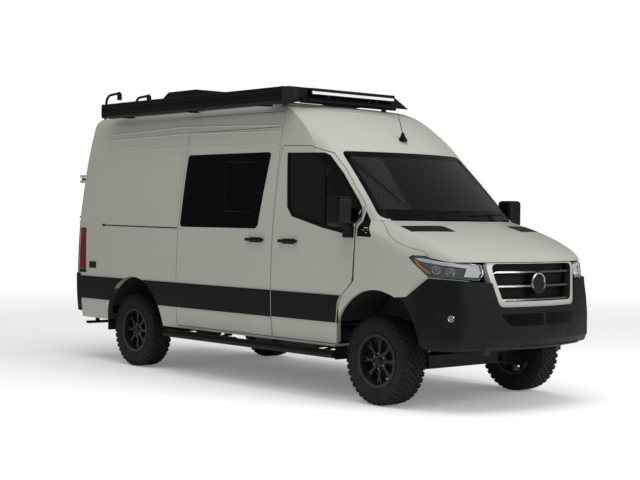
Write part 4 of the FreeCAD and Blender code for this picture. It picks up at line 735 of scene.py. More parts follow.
class VAN_OT_window_trims(bpy.types.Operator):
    """Adds the window rings, the pillar-foot trims, the painted post and the windscreen's print"""
    bl_idname = "van.window_trims"
    bl_label = "Window trims"

    def execute(self, context):
        proud = context.scene.van_sizes.trim_proud
        for side in SIDES:
            tree = skin_of("front_door_" + side)
            bm = bmesh.new()
            pane = skin_of("door_glass_" + side)
            patch_part(bm, tree, side, DOOR_RING, proud, cell=0.03, holes=[DOOR_RING_HOLE], glass=pane)
            patch_part(bm, tree, side, DOOR_DIVIDER, proud * 1.5, glass=pane)
            make_piece("door_window_ring_" + side, bm, "gloss_black_abs", "door_front_" + side)
            bm = bmesh.new()
            pillar = skin_of("side_panel_" + side, "front_wings")
            patch_part(bm, pillar, side, FOOT_TRIANGLE, proud, 0.003, cell=0.02)
            make_piece("pillar_foot_trim_" + side, bm, "gloss_black_abs")
            bm = bmesh.new()
            seam_part(bm, skin_of("side_windows"), side, SLIDER, 0.004, closed=True)
            make_piece("slider_outline_" + side, bm, "satin_black_abs")
        bm = bmesh.new()
        pane = skin_of("side_windows")
        patch_part(bm, skin_of("sliding_door"), "right", POST_WEDGE, 0.001, cell=0.03, glass=pane)
        make_piece("window_post_skin", bm, "basecoat_clear_lacquer", "van_body")
        bm = bmesh.new()
        patch_part(bm, skin_of("windscreen"), "front", SCREEN_BORDER, 0.0008, 0.002, holes=[SCREEN_HOLE])
        make_piece("windscreen_print", bm, "gloss_black_abs")
        return {"FINISHED"}


# The two ends of each blade and the foot of its arm (across, height)
WIPERS = [((-0.66, 1.604), (0.03, 1.640), (-0.40, 1.572)), ((0.10, 1.604), (0.72, 1.622), (0.40, 1.572))]


class VAN_OT_wipers(bpy.types.Operator):
    """Adds the two wipers at the foot of the windscreen"""
    bl_idname = "van.wipers"
    bl_label = "Wipers"

    def execute(self, context):
        tree = skin_of("windscreen")
        bm = bmesh.new()
        for start, end, foot in WIPERS:
            seam_part(bm, tree, "front", [start, end], 0.0055, sunk=-1.2, pace=0.12)
            middle_y = (start[0] + end[0]) / 2.0
            middle_z = (start[1] + end[1]) / 2.0 + 0.004
            seam_part(bm, tree, "front", [foot, (middle_y, middle_z)], 0.007, sunk=-2.4, pace=0.15)
        make_piece("wipers", bm, "satin_black_abs")
        return {"FINISHED"}


# Lines and outlines in the side views (from the front axle, height)
BODY_CREASES = [
    [(-4.479, 2.432), (-2.983, 2.467), (-1.430, 2.419)],
    [(-4.410, 2.375), (-2.963, 2.395), (-1.446, 2.364)],
    [(-4.416, 2.240), (-2.976, 2.262), (-1.420, 2.240)],
]
PRESSED_FIELD = [(-2.930, 2.176), (-4.330, 2.143), (-4.405, 2.095), (-4.455, 1.580), (-4.420, 1.560),
                 (-2.930, 1.556)]
DOOR_TOP_SEAM = [(-2.868, 2.412), (-2.865, 2.545), (-2.840, 2.556), (-1.430, 2.546), (-1.405, 2.533),
                 (-1.402, 2.412)]
SLIDE_RAIL = [(-4.265, 1.462), (-2.900, 1.449)]
RAIL_END = oblong(-4.290, -4.248, 1.452, 1.474)
HATCH = oblong(-4.527, -4.387, 0.995, 1.066)
BODY_SKIN = ("side_panel_right", "side_panel_left", "roof_panel", "sliding_door")


class VAN_OT_body_lines(bpy.types.Operator):
    """Adds the pressed creases, the sliding door's rail and upper joint and the side hatch"""
    bl_idname = "van.body_lines"
    bl_label = "Body lines"

    def execute(self, context):
        sizes = context.scene.van_sizes
        tree = skin_of(*BODY_SKIN)
        pressed = bmesh.new()
        dark = bmesh.new()
        for side in SIDES:
            for route in BODY_CREASES:
                seam_part(pressed, tree, side, route, 0.014, pace=0.12)
            seam_part(pressed, tree, side, PRESSED_FIELD, 0.012, pace=0.12, closed=True)
        seam_part(dark, tree, "right", DOOR_TOP_SEAM, sizes.seam_radius, pace=0.12)
        seam_part(dark, tree, "right", SLIDE_RAIL, 0.007, sunk=0.3, pace=0.12)
        patch_part(dark, tree, "right", RAIL_END, 0.008, 0.012, corner=0.006)
        patch_part(dark, tree, "right", HATCH, sizes.trim_proud, corner=0.008)
        make_piece("pressed_lines", pressed, "basecoat_clear_lacquer", "van_body")
        make_piece("rail_and_joints", dark, "satin_black_abs")
        return {"FINISHED"}


def handle_part(bm, tree, side, back, front, height):
    """A pull handle over a shallow cup."""
    cup = oblong(back + 0.03, front - 0.03, height - 0.026, height + 0.022)
    patch_part(bm, tree, side, cup, 0.0012, 0.003, corner=0.02)
    inward = INWARD[side]
    ends = [on_skin(tree, flat_place(side, place, height), inward, 0.030) for place in (back, front)]
    feet = [on_skin(tree, flat_place(side, place, height), inward, -0.002)
            for place in (back + 0.02, front - 0.02)]
    low = Vector((ends[0].x, min(ends[0].y, ends[1].y) - 0.006, height - 0.014))
    high = Vector((ends[1].x, max(ends[0].y, ends[1].y) + 0.006, height + 0.014))
    box_part(bm, low, high, 0.0055, 3)
    for foot in feet:
        outer = foot - inward * 0.034
        box_part(bm, (foot.x - 0.018, min(foot.y, outer.y), height - 0.012),
                 (foot.x + 0.018, max(foot.y, outer.y), height + 0.012), 0.004)


# Where each pull handle ends at the back and the front, and its height
FRONT_HANDLE = (-1.272, -1.030, 1.356)
SLIDING_HANDLE = (-1.756, -1.512, 1.360)
REAR_HANDLE = oblong(-0.16, -0.03, 1.175, 1.225)


class VAN_OT_handles(bpy.types.Operator):
    """Adds the handles of the front, sliding and rear doors"""
    bl_idname = "van.handles"
    bl_label = "Door handles"

    def execute(self, context):
        for side in SIDES:
            bm = bmesh.new()
            handle_part(bm, skin_of("front_door_" + side), side, *FRONT_HANDLE)
            make_piece("front_handle_" + side, bm, "satin_black_abs", "door_front_" + side)
        bm = bmesh.new()
        handle_part(bm, skin_of("sliding_door"), "right", *SLIDING_HANDLE)
        make_piece("sliding_handle", bm, "satin_black_abs")
        bm = bmesh.new()
        tree = skin_of("rear_door_right")
        patch_part(bm, tree, "rear", REAR_HANDLE, 0.018, 0.020, corner=0.012)
        make_piece("rear_handle", bm, "satin_black_abs", "door_rear_right")
        return {"FINISHED"}


# Outline in the side views (from the front axle, height)
DOOR_BAND = [(-1.366, 0.6655), (-1.368, 0.9045), (-0.424, 0.9045), (-0.459, 0.850), (-0.477, 0.709),
             (-0.482, 0.6655)]


class VAN_OT_door_bands(bpy.types.Operator):
    """Covers the raised band across each front door in the cladding's plastic"""
    bl_idname = "van.door_bands"
    bl_label = "Door bands"

    def execute(self, context):
        for side in SIDES:
            bm = bmesh.new()
            patch_part(bm, skin_of("front_door_" + side), side, DOOR_BAND, 0.001, 0.006, cell=0.08)
            make_piece("door_band_" + side, bm, "grained_polypropylene", "door_front_" + side)
        return {"FINISHED"}


# Points (distance from the axis, distance along it) of the round parts' profiles
BADGE_RING = [(0.070, -0.004), (0.0735, 0.004), (0.080, 0.006), (0.0865, 0.004), (0.090, -0.004),
              (0.070, -0.004)]
FOG_LENS = [(0.0, 0.007), (0.010, 0.006), (0.017, 0.004), (0.020, 0.0), (0.0, -0.004)]
FOG_RIM = [(0.020, -0.004), (0.020, 0.005), (0.023, 0.007), (0.027, 0.004), (0.027, -0.004), (0.020, -0.004)]
PROJECTOR_LENS = [(0.0, 0.018), (0.012, 0.016), (0.021, 0.010), (0.025, 0.0), (0.0, -0.002)]
PROJECTOR_RIM = [(0.025, -0.002), (0.025, 0.008), (0.029, 0.014), (0.035, 0.012), (0.035, -0.002),
                 (0.025, -0.002)]
CENTRE_CAP = [(0.0, 0.010), (0.026, 0.009), (0.032, 0.005), (0.034, -0.002), (0.0, -0.003)]
AERIAL_FOOT = [(0.0, 0.078), (0.012, 0.074), (0.022, 0.044), (0.042, 0.010), (0.046, -0.004), (0.0, -0.004)]

# Height of each slat, half its length, and half the gap left open at its middle
SLATS = ((1.143, 0.503, 0.032), (1.028, 0.470, 0.096), (0.918, 0.428, 0.0))
SLAT_HALF = 0.0065
# Outlines in the front view (across, height), and the fog lamp's parts in the lamp views
INTAKE = [(-0.470, 0.806), (0.470, 0.806), (0.372, 0.706), (-0.372, 0.706)]
PLATE = oblong(-0.262, 0.262, 0.522, 0.640)
PLATE_FRAME = oblong(-0.290, 0.290, 0.505, 0.655)
INTAKE_POST = oblong(-0.016, 0.016, 0.700, 0.812)
FOG_RECESS = [(-0.931, 0.717), (-0.864, 0.819), (-0.771, 0.840), (-0.435, 0.795), (-0.566, 0.701),
              (-0.709, 0.683)]
FOG_LAMP = (-0.705, 0.765)
BADGE = (0.0, 1.052)
BUMPER_CREASE = [(-0.60, 0.530), (0.60, 0.530)]
BUMPER_JOINT = [(-0.880, 0.690), (-0.222, 0.661)]


class VAN_OT_nose(bpy.types.Operator):
    """Adds the grille slats, the badge ring, the lower intake, the plate blank and the fog lamps"""
    bl_idname = "van.nose"
    bl_label = "Nose"

    def execute(self, context):
        sizes = context.scene.van_sizes
        grille = skin_of("grille")
        bumper = skin_of("front_bumper")
        bright = bmesh.new()
        for height, half, clear in SLATS:
            for side in (-1.0, 1.0):
                bar = oblong(side * clear, side * half, height - SLAT_HALF, height + SLAT_HALF)
                patch_part(bright, grille, "front", bar, 0.0012)
        face = on_skin(grille, flat_place("front", *BADGE), INWARD["front"], 0.0)
        lathe_part(bright, BADGE_RING, face, (1.0, 0.0, 0.0), 64)
        make_piece("grille_slats", bright, "satin_chrome_plate")
        mesh = bmesh.new()
        # The intake is a flat gloss black sheet: painted shade standing for the depth of its opening
        patch_part(mesh, bumper, "front", INTAKE, 0.0012, corner=0.02)
        make_piece("lower_intake_painted_shade", mesh, "gloss_black_abs")
        dark = bmesh.new()
        seam_part(dark, bumper, "front", BUMPER_CREASE, 0.010, sunk=0.1, pace=0.1)
        patch_part(dark, bumper, "front", PLATE_FRAME, 0.0012, corner=0.012)
        patch_part(dark, bumper, "front", INTAKE_POST, 0.0025)
        lens = bmesh.new()
        rim = bmesh.new()
        for side, sign in HALVES:
            view = "lamp_" + side
            patch_part(dark, bumper, view, mirrored_by(sign, FOG_RECESS), sizes.trim_proud, corner=0.012)
            seam_part(dark, bumper, view, mirrored_by(sign, BUMPER_JOINT), sizes.seam_radius)
            outward = -INWARD[view]
            spot = flat_place(view, FOG_LAMP[0] * sign, FOG_LAMP[1])
            place = on_skin(bumper, spot, INWARD[view], 0.002)
            lathe_part(lens, FOG_LENS, place, outward, 32)
            lathe_part(rim, FOG_RIM, place, outward, 32)
        make_piece("bumper_trims", dark, "satin_black_abs")
        make_piece("fog_lenses", lens, "projector_glass", "van_body")
        make_piece("fog_rims", rim, "satin_chrome_plate")
        plate = bmesh.new()
        patch_part(plate, bumper, "front", PLATE, 0.0022, corner=0.006)
        make_piece("plate_blank_front", plate, "grained_polypropylene", "van_body")
        return {"FINISHED"}


# Outlines of the right headlamp's parts, and the middles of its projectors (across, height)
LAMP_LENS = [(-1.180, 1.262), (-1.140, 1.281), (-1.050, 1.277), (-0.850, 1.240), (-0.360, 1.192),
             (-0.330, 1.120), (-0.384, 1.062), (-0.960, 1.106), (-1.120, 1.206)]
LAMP_INSIDE = [(-1.160, 1.258), (-1.136, 1.268), (-1.050, 1.264), (-0.850, 1.228), (-0.380, 1.181),
               (-0.350, 1.120), (-0.395, 1.074), (-0.952, 1.116), (-1.105, 1.209)]
LIGHT_STRIP = [(-1.130, 1.262), (-1.050, 1.260), (-0.836, 1.226), (-0.392, 1.180), (-0.368, 1.124),
               (-0.400, 1.086), (-0.560, 1.098), (-0.534, 1.165), (-0.836, 1.198), (-1.060, 1.234)]
LAMP_REFLECTOR = [(-1.140, 1.250), (-1.105, 1.243), (-0.992, 1.140), (-1.022, 1.131)]
PROJECTORS = [(-0.880, 1.160), (-0.718, 1.136)]


class VAN_OT_headlamps(bpy.types.Operator):
    """Adds the headlamps: dark bowls, light strips, projectors and amber reflectors under clear covers"""
    bl_idname = "van.headlamps"
    bl_label = "Headlamps"

    def execute(self, context):
        tree = skin_of("headlamps")
        bowl, strip, amber, glass, rims, cover = (bmesh.new() for _ in range(6))
        for side, sign in HALVES:
            view = "lamp_" + side
            outer = mirrored_by(sign, LAMP_LENS)
            patch_part(bowl, tree, view, outer, -0.034, 0.040)
            patch_part(bowl, tree, view, outer, -0.004, 0.036, holes=[mirrored_by(sign, LAMP_INSIDE)])
            patch_part(strip, tree, view, mirrored_by(sign, LIGHT_STRIP), -0.010, 0.026)
            patch_part(amber, tree, view, mirrored_by(sign, LAMP_REFLECTOR), -0.008, 0.026)
            patch_part(cover, tree, view, outer, 0.0, 0.003)
            for across, height in PROJECTORS:
                place = on_skin(tree, flat_place(view, across * sign, height), INWARD[view], -0.032)
                lathe_part(glass, PROJECTOR_LENS, place, -INWARD[view], 32)
                lathe_part(rims, PROJECTOR_RIM, place, -INWARD[view], 32)
        make_piece("lamp_bowls", bowl, "lamp_bezel_abs", "van_body")
        make_piece("light_strips", strip, "diffusing_acrylic", "van_body")
        make_piece("lamp_reflectors", amber, "amber_acrylic_lens", "van_body")
        make_piece("projector_lenses", glass, "projector_glass", "van_body")
        make_piece("projector_rims", rims, "satin_chrome_plate", "van_body")
        make_piece("lamp_covers", cover, "hard_coated_polycarbonate", "van_body",
                   stands_for=["headlamps"])
        return {"FINISHED"}


# The right vent's outline from above (from the front axle, across)
BONNET_VENT = [(0.095, -0.800), (0.205, -0.440), (0.225, -0.412), (0.378, -0.420), (0.372, -0.470),
               (0.250, -0.812)]


class VAN_OT_bonnet_vents(bpy.types.Operator):
    """Adds the dark vents on the bonnet"""
    bl_idname = "van.bonnet_vents"
    bl_label = "Bonnet vents"

    def execute(self, context):
        tree = skin_of("bonnet")
        bm = bmesh.new()
        for sign in (1.0, -1.0):
            patch_part(bm, tree, "top", [(x, y * sign) for x, y in BONNET_VENT], 0.0015)
        make_piece("bonnet_vents", bm, "satin_black_abs", "bonnet_lid")
        return {"FINISHED"}


TREAD_ROWS = [
    # middle across the tyre, width, share of the pitch, shift along the pitch, turn in degrees
    (0.0, 0.026, 0.72, 0.0, 12.0),
    (0.031, 0.027, 0.70, 0.5, -14.0),
    (-0.031, 0.027, 0.70, 0.5, -14.0),
    (0.063, 0.028, 0.70, 0.1, 10.0),
    (-0.063, 0.028, 0.70, 0.1, 10.0),
    (0.094, 0.026, 0.66, 0.6, 0.0),
    (-0.094, 0.026, 0.66, 0.6, 0.0),
]
# The outer rows of blocks start here across the tyre, and lie this much lower
SHOULDER = 0.09
SHOULDER_DROP = 0.004
# Angle, in radians, at which the shoulder lugs lean outward, and their shift as a share of the pitch
LUG_LEAN = 0.42
LUG_SHIFT = 0.6


def tyre_mesh(centre, radius, half, bead, sizes):
    """An off-road tyre: rounded carcass, tread blocks in rows and lugs down the shoulders."""
    bm = bmesh.new()
    base = radius - sizes.tread_depth
    half_profile = [(bead, 0.088), (bead + 0.010, 0.098), (bead + 0.022, 0.102), (bead + 0.050, half - 0.004),
                    (bead + 0.085, half), (base - 0.045, half - 0.001), (base - 0.022, half - 0.007),
                    (base - 0.006, half - 0.018), (base, half - 0.034), (base + 0.001, 0.04)]
    profile = [(distance, -along) for distance, along in half_profile]
    profile += [(distance, along) for distance, along in reversed(half_profile)]
    profile += [(bead - 0.006, 0.080), (bead - 0.006, -0.080), (bead, -0.088)]
    lathe_part(bm, profile, centre, (0.0, 1.0, 0.0), 96)
    blocks = bmesh.new()
    pitch = math.tau / sizes.tread_pitches
    length = pitch * radius
    for across, width, share, shift, turn in TREAD_ROWS:
        drop = 0.0 if abs(across) < SHOULDER else SHOULDER_DROP
        half_length = share * length / 2.0
        place = Matrix.Rotation(shift * pitch, 4, "Y") @ Matrix.Translation((0.0, across, radius - drop))
        block = bmesh.new()
        box_part(block, (-half_length, -width / 2.0, -sizes.tread_depth - 0.003),
                 (half_length, width / 2.0, -0.001), 0.0018, 1)
        place = place @ Matrix.Rotation(math.radians(turn), 4, "Z")
        bmesh.ops.transform(block, matrix=place, verts=list(block.verts))
        merge_into(blocks, block)
    for side in (-1.0, 1.0):
        lug = bmesh.new()
        box_part(lug, (-0.012, -0.005, -0.020), (0.012, 0.005, 0.006), 0.002, 1)
        spot = Matrix.Translation((0.0, side * (half - 0.0095), radius - 0.022))
        lean = Matrix.Rotation(side * LUG_LEAN, 4, "X")
        place = Matrix.Rotation(LUG_SHIFT * pitch, 4, "Y") @ (spot @ lean)
        bmesh.ops.transform(lug, matrix=place, verts=list(lug.verts))
        merge_into(blocks, lug)
    bmesh.ops.translate(blocks, verts=list(blocks.verts), vec=centre)
    bmesh.ops.spin(blocks, geom=list(blocks.verts) + list(blocks.edges) + list(blocks.faces), cent=centre,
                   axis=(0.0, 1.0, 0.0), angle=math.tau - pitch, steps=sizes.tread_pitches - 1,
                   use_duplicate=True)
    merge_into(bm, blocks)
    return bm


# How far the tyre's bead lies inside the rim's edge
BEAD_INSIDE = 0.012


class VAN_OT_tyres(bpy.types.Operator):
    """Adds the treaded tyres in place of the plain ones"""
    bl_idname = "van.tyres"
    bl_label = "Tyres"

    def execute(self, context):
        sizes = context.scene.van_sizes
        for place in WHEELS:
            low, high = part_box("tyre_" + place)
            rim_low, rim_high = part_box("wheel_" + place)
            radius = (high[2] - low[2]) / 2.0
            bead = (rim_high[2] - rim_low[2]) / 2.0 - BEAD_INSIDE
            bm = tyre_mesh(middle("tyre_" + place), radius, (high[1] - low[1]) / 2.0, bead, sizes)
            make_piece("treaded_tyre_" + place, bm, "vulcanised_rubber", "wheel_set_" + place,
                       stands_for=["tyre_" + place])
        return {"FINISHED"}


# Number of bolts in a wheel, and the radius of the circle they stand on
WHEEL_BOLTS = 6
BOLT_CIRCLE = 0.065


class VAN_OT_wheel_fixings(bpy.types.Operator):
    """Adds the centre caps and bolts of the wheels"""
    bl_idname = "van.wheel_fixings"
    bl_label = "Wheel caps and bolts"

    def execute(self, context):
        for place in WHEELS:
            tree = skin_of("wheel_" + place)
            side = "right" if place.endswith("right") else "left"
            inward = INWARD[side]
            hub = middle("wheel_" + place)
            caps = bmesh.new()
            bolts = bmesh.new()
            ring = on_skin(tree, hub + Vector((0.040, 0.0, 0.0)), inward, 0.0)
            face = Vector((hub.x, ring.y, hub.z))
            lathe_part(caps, CENTRE_CAP, face, -inward, 32)
            for index in range(WHEEL_BOLTS):
                turn = math.tau * (index + 0.5) / WHEEL_BOLTS
                spot = hub + Vector((math.cos(turn), 0.0, math.sin(turn))) * BOLT_CIRCLE
                foot = on_skin(tree, spot, inward, -0.004)
                rod_part(bolts, foot, foot - inward * 0.018, 0.0105, 0.0095, 6, 0.0015)
            make_piece("centre_cap_" + place, caps, "satin_black_abs", "wheel_set_" + place)
            make_piece("wheel_bolts_" + place, bolts, "machined_steel", "wheel_set_" + place)
        return {"FINISHED"}


# How far a cushion's sides pull in between its corners, as a share, and the depth of its sewn grooves
PINCH = 0.05
GROOVE = 0.010


def cushion_part(bm, centre, size, crown, turn, divisions=10, channels=0):
    """A crowned pad whose sides pull in between its corners, turned about the crosswise axis.

    `crown` is how far its middle rises over its edges, and `channels` the number of sewn grooves across it.
    """
    work = bmesh.new()
    bmesh.ops.create_cube(work, size=2.0)
    bmesh.ops.subdivide_edges(work, edges=list(work.edges), cuts=divisions, use_grid_fill=True)
    half = Vector(size) / 2.0
    for vert in work.verts:
        u, v, w = vert.co
        length = max(1e-6, vert.co.length)
        ball = vert.co / length * max(abs(u), abs(v), abs(w))
        soft = vert.co.lerp(ball, 0.30)
        bulge = (1.0 - min(1.0, u * u)) * (1.0 - min(1.0, v * v))
        rise = w * (half.z + crown * bulge - crown * 0.5)
        draw = PINCH * (1.0 - w * w) * 0.5
        x = soft.x * half.x * (1.0 + draw - PINCH * (1.0 - v * v) * 0.4)
        y = soft.y * half.y * (1.0 + draw - PINCH * (1.0 - u * u) * 0.4)
        z = soft.z / max(1e-6, abs(w)) * abs(rise) if abs(w) > 0.2 else soft.z * half.z
        if channels and abs(w) > 0.7:
            wave = abs(math.sin((u * 0.5 + 0.5) * math.pi * channels))
            z -= math.copysign(GROOVE * (1.0 - wave) ** 3 * bulge, w)
        vert.co = Vector((x, y, z))
    bmesh.ops.transform(work, matrix=Matrix.Translation(centre) @ Matrix.Rotation(turn, 4, "Y"),
                        verts=list(work.verts))
    merge_into(bm, work)


# Where each seat's inner edge lies, out from the middle of the cab
SEAT_INNER = 0.18


class VAN_OT_seats(bpy.types.Operator):
    """Adds the upholstered cab seats in place of the plain ones"""
    bl_idname = "van.seats"
    bl_label = "Cab seats"

    def execute(self, context):
        low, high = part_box("cab_seats")
        for side, sign in SIDES.items():
            y = sign * (high[1] + SEAT_INNER) / 2.0
            width = high[1] - SEAT_INNER
            pads = bmesh.new()
            cushion_part(pads, (high[0] - 0.265, y, low[2] + 0.385), (0.50, width - 0.02, 0.15), 0.03, 0.10,
                         channels=5)
            cushion_part(pads, (low[0] + 0.155, y, low[2] + 0.700), (0.66, width - 0.03, 0.15), 0.03,
                         math.radians(105.0), channels=6)
            cushion_part(pads, (low[0] + 0.085, y, high[2] - 0.095), (0.18, 0.27, 0.10), 0.02,
                         math.radians(100.0))
            for edge in (-1.0, 1.0):
                cushion_part(pads, (high[0] - 0.27, y + edge * (width / 2.0 - 0.035), low[2] + 0.415),
                             (0.44, 0.065, 0.10), 0.01, 0.10, 6)
            make_piece("seat_pads_" + side, pads, "woven_seat_cloth", "van_body", 60.0,
                       stands_for=["cab_seats"] if side == "right" else [])
            frame_mesh = bmesh.new()
            box_part(frame_mesh, (low[0] + 0.10, y - width / 2.0 + 0.05, low[2] + 0.001),
                     (high[0] - 0.09, y + width / 2.0 - 0.05, low[2] + 0.31), 0.02, 3)
            for post in (-0.055, 0.055):
                rod_part(frame_mesh, (low[0] + 0.095, y + post, high[2] - 0.24),
                         (low[0] + 0.085, y + post, high[2] - 0.10), 0.006, steps=12)
            make_piece("seat_base_" + side, frame_mesh, "soft_touch_trim", "van_body")
        return {"FINISHED"}


class VAN_OT_cab_trims(bpy.types.Operator):
    """Adds the interior mirror and the dash screen"""
    bl_idname = "van.cab_trims"
    bl_label = "Cab trims"

    def execute(self, context):
        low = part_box("dashboard")[0]
        top_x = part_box("windscreen")[0][0] + 0.075
        bm = bmesh.new()
        box_part(bm, (top_x, -0.125, 2.000), (top_x + 0.03, 0.125, 2.070), 0.010, 3)
        rod_part(bm, (top_x + 0.02, 0.0, 2.05), (top_x + 0.055, 0.0, 2.105), 0.010)
        box_part(bm, (low[0] - 0.001, -0.14, 1.255), (low[0] + 0.03, 0.14, 1.400), 0.006, 2)
        make_piece("cab_trims", bm, "gloss_black_abs", "van_body")
        return {"FINISHED"}


class VAN_OT_mirror_parts(bpy.types.Operator):
    """Adds the mirror glasses of the door mirrors"""
    bl_idname = "van.mirror_parts"
    bl_label = "Door mirror parts"

    def execute(self, context):
        for side, sign in SIDES.items():
            low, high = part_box("mirror_" + side)
            tree = skin_of("mirror_" + side)
            outer = high[1] if sign > 0 else low[1]
            first, second = sorted((outer - sign * 0.022, outer - sign * 0.140))
            glass = bmesh.new()
            outline = oblong(first, second, low[2] + 0.135, high[2] - 0.028)
            patch_part(glass, tree, "rear", outline, 0.002, 0.003, corner=0.012)
            make_piece("mirror_glass_" + side, glass, "silvered_mirror", "door_front_" + side)
        return {"FINISHED"}


class VAN_OT_roof_fittings(bpy.types.Operator):
    """Adds the light bar's lens, the fairing's skirt, the aerial, the awning's ends and the unit's cover"""
    bl_idname = "van.roof_fittings"
    bl_label = "Roof fittings"

    def execute(self, context):
        low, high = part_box("light_bar")
        lens = bmesh.new()
        box_part(lens, (high[0] - 0.004, low[1] + 0.012, low[2] + 0.030),
                 (high[0] + 0.002, high[1] - 0.012, low[2] + 0.056), 0.0015, 1)
        make_piece("light_bar_lens", lens, "diffusing_acrylic", "van_body")
        dark = bmesh.new()
        box_part(dark, (low[0] - 0.020, -0.62, low[2] - 0.055),
                 (low[0] + 0.003, 0.62, low[2] + 0.006), 0.003, 2)
        box_part(dark, (low[0] - 0.120, -0.832, low[2] - 0.050),
                 (low[0] + 0.070, -0.640, low[2] + 0.075), 0.004, 2)
        make_piece("fairing_skirt", dark, "satin_black_abs")
        dark = bmesh.new()
        roof = on_skin(skin_of("roof_panel"), flat_place("top", -0.70, 0.0), INWARD["top"], 0.0)
        lathe_part(dark, AERIAL_FOOT, roof, (0.0, 0.0, 1.0), 32)
        whip_foot = roof + Vector((0.0, 0.0, 0.060))
        whip_tip = roof + Vector((-0.07, 0.0, 0.26))
        rod_part(dark, whip_foot, whip_tip, 0.0040, 0.0024, 12)
        make_piece("roof_aerial", dark, "satin_black_abs")
        low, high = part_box("awning")
        ends = bmesh.new()
        for place in (low[0] + 0.001, high[0] - 0.023):
            box_part(ends, (place, low[1] + 0.001, low[2] + 0.001),
                     (place + 0.022, high[1] - 0.001, high[2] - 0.001), 0.004, 2)
        for share in (0.12, 0.5, 0.88):
            place = low[0] + (high[0] - low[0]) * share
            box_part(ends, (place - 0.035, low[1] + 0.06, low[2] - 0.010),
                     (place + 0.035, high[1] + 0.02, low[2] + 0.004), 0.003, 2)
        make_piece("awning_ends", ends, "satin_black_abs")
        lines = bmesh.new()
        for share in (0.30, 0.72):
            height = low[2] + (high[2] - low[2]) * share
            rod_part(lines, (low[0] + 0.024, low[1] + 0.0008, height),
                     (high[0] - 0.024, low[1] + 0.0008, height), 0.0020, steps=8)
        make_piece("awning_lines", lines, "primed_chassis_steel", "van_body")
        low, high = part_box("roof_unit")
        cover = bmesh.new()
        box_part(cover, (low[0] + 0.10, low[1] + 0.08, high[2] - 0.004),
                 (high[0] - 0.10, high[1] - 0.08, high[2] + 0.004), 0.003, 2)
        make_piece("roof_unit_cover", cover, "gelcoat_plastic", "van_body")
        return {"FINISHED"}


# Outlines in the rear view (across, height), and in the side views (from the front axle, height)
REAR_PLATE = oblong(0.10, 0.62, 0.985, 1.095)
REAR_REFLECTOR = oblong(0.66, 0.76, 0.700, 0.728)
LAMP_FLANK = [(-4.760, 1.430), (-4.620, 1.430), (-4.590, 0.985), (-4.760, 0.985)]
LAMP_FOOT = [(-4.760, 0.981), (-4.589, 0.981), (-4.586, 0.942), (-4.760, 0.942)]


class VAN_OT_tail(bpy.types.Operator):
    """Adds the tail lamps' flanks, feet and lenses, the step bar, the rear plate blank and the reflectors"""
    bl_idname = "van.tail"
    bl_label = "Tail"

    def execute(self, context):
        lamps = skin_of("tail_lamps")
        low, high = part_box("tail_lamps")
        clear = bmesh.new()
        dark = bmesh.new()
        for sign in (-1.0, 1.0):
            ends = (sign * (high[1] - 0.075), sign * (high[1] - 0.022))
            patch_part(clear, lamps, "rear", oblong(*ends, 1.110, 1.165), 0.0015, 0.003)
            patch_part(dark, lamps, "rear", oblong(*ends, low[2] + 0.006, low[2] + 0.04), 0.0015, 0.003)
        flanks = bmesh.new()
        for side in SIDES:
            skin = skin_of("side_panel_" + side, "tail_lamps")
            patch_part(flanks, skin, side, LAMP_FLANK, 0.0015, 0.003, corner=0.008)
            patch_part(dark, skin, side, LAMP_FOOT, 0.0015, 0.003)
        make_piece("tail_lamp_flanks", flanks, "red_acrylic_lens", "van_body")
        make_piece("reversing_lenses", clear, "diffusing_acrylic", "van_body")
        make_piece("tail_lamp_feet", dark, "satin_black_abs")
        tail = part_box("rear_bumper")[0][0]
        step = bmesh.new()
        box_part(step, (tail + 0.010, -0.79, 0.356), (tail + 0.070, 0.79, 0.384), 0.006, 2)
        for y in (-0.66, 0.66):
            box_part(step, (tail + 0.030, y - 0.02, 0.370), (tail + 0.060, y + 0.02, 0.545), 0.004, 2)
        make_piece("rear_step_bar", step, "black_powder_coat", "van_body")
        plate = bmesh.new()
        tree = skin_of("rear_door_left")
        patch_part(plate, tree, "rear", REAR_PLATE, 0.004, 0.006, corner=0.006)
        make_piece("plate_blank_rear", plate, "enamelled_plate_blank", "door_rear_left")
        red = bmesh.new()
        bumper = skin_of("rear_bumper")
        for sign in (-1.0, 1.0):
            patch_part(red, bumper, "rear", mirrored_by(sign, REAR_REFLECTOR), 0.002)
        make_piece("rear_reflectors", red, "red_acrylic_lens", "van_body")
        return {"FINISHED"}


# Where each pad starts and ends along the bar, from the front axle
STEP_PADS = ((-0.92, -0.66), (-1.50, -1.24), (-2.10, -1.84), (-2.68, -2.42))


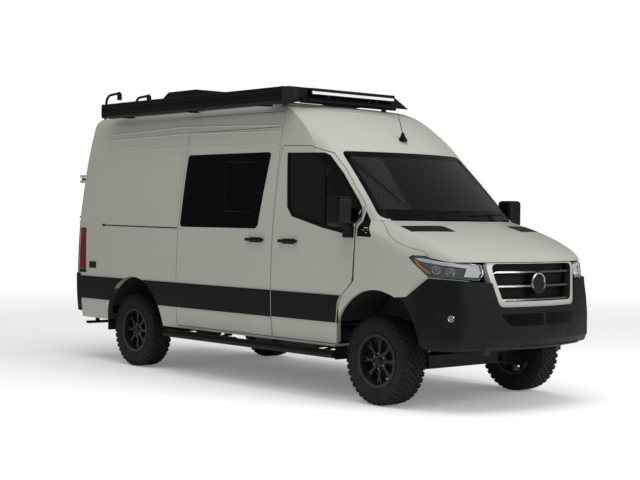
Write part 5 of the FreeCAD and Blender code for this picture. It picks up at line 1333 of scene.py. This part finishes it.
class VAN_OT_step_pads(bpy.types.Operator):
    """Adds the tread pads on the side bars"""
    bl_idname = "van.step_pads"
    bl_label = "Step pads"

    def execute(self, context):
        tree = skin_of("running_boards")
        pads = bmesh.new()
        for sign in (-1.0, 1.0):
            y = sign * (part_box("running_boards")[1][1] - 0.034)
            for start, end in STEP_PADS:
                top = on_skin(tree, (AXLE_X + (start + end) / 2.0, y, 0.6), INWARD["top"], 0.0).z
                box_part(pads, (AXLE_X + start, y - 0.028, top - 0.006),
                         (AXLE_X + end, y + 0.028, top + 0.004), 0.003, 2)
                for index in range(5):
                    rib = AXLE_X + start + 0.03 + index * (end - start - 0.06) / 4.0
                    box_part(pads, (rib - 0.006, y - 0.024, top + 0.003),
                             (rib + 0.006, y + 0.024, top + 0.0065), 0.001, 1)
        make_piece("step_pads", pads, "vulcanised_rubber")
        return {"FINISHED"}


OPERATORS = [VAN_OT_stage, VAN_OT_finishes, VAN_OT_window_trims, VAN_OT_wipers, VAN_OT_body_lines,
             VAN_OT_handles, VAN_OT_door_bands, VAN_OT_nose, VAN_OT_headlamps, VAN_OT_bonnet_vents,
             VAN_OT_tyres, VAN_OT_wheel_fixings, VAN_OT_seats, VAN_OT_cab_trims, VAN_OT_mirror_parts,
             VAN_OT_roof_fittings, VAN_OT_tail, VAN_OT_step_pads]


class VAN_PT_panel(bpy.types.Panel):
    """Lists the van's pieces in the sidebar"""
    bl_idname = "VAN_PT_panel"
    bl_label = "Camper van"
    bl_space_type = "VIEW_3D"
    bl_region_type = "UI"
    bl_category = "Camper Van"

    def draw(self, context):
        layout = self.layout
        for name in ("paint", "plastic", "wheel", "upholstery"):
            layout.prop(context.scene.van_colours, name)
        for name in ("trim_proud", "seam_radius", "tread_depth", "tread_pitches"):
            layout.prop(context.scene.van_sizes, name)
        for operator in OPERATORS:
            layout.operator(operator.bl_idname)


CLASSES = [VanColours, VanSizes, *OPERATORS, VAN_PT_panel]


def register():
    for item in CLASSES:
        bpy.utils.register_class(item)
    bpy.types.Scene.van_colours = bpy.props.PointerProperty(type=VanColours)
    bpy.types.Scene.van_sizes = bpy.props.PointerProperty(type=VanSizes)


def unregister():
    del bpy.types.Scene.van_sizes
    del bpy.types.Scene.van_colours
    for item in reversed(CLASSES):
        bpy.utils.unregister_class(item)


def main():
    """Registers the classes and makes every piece."""
    register()
    for operator in OPERATORS:
        getattr(bpy.ops.van, operator.bl_idname.split(".")[1])()


if __name__ == "__main__":
    main()
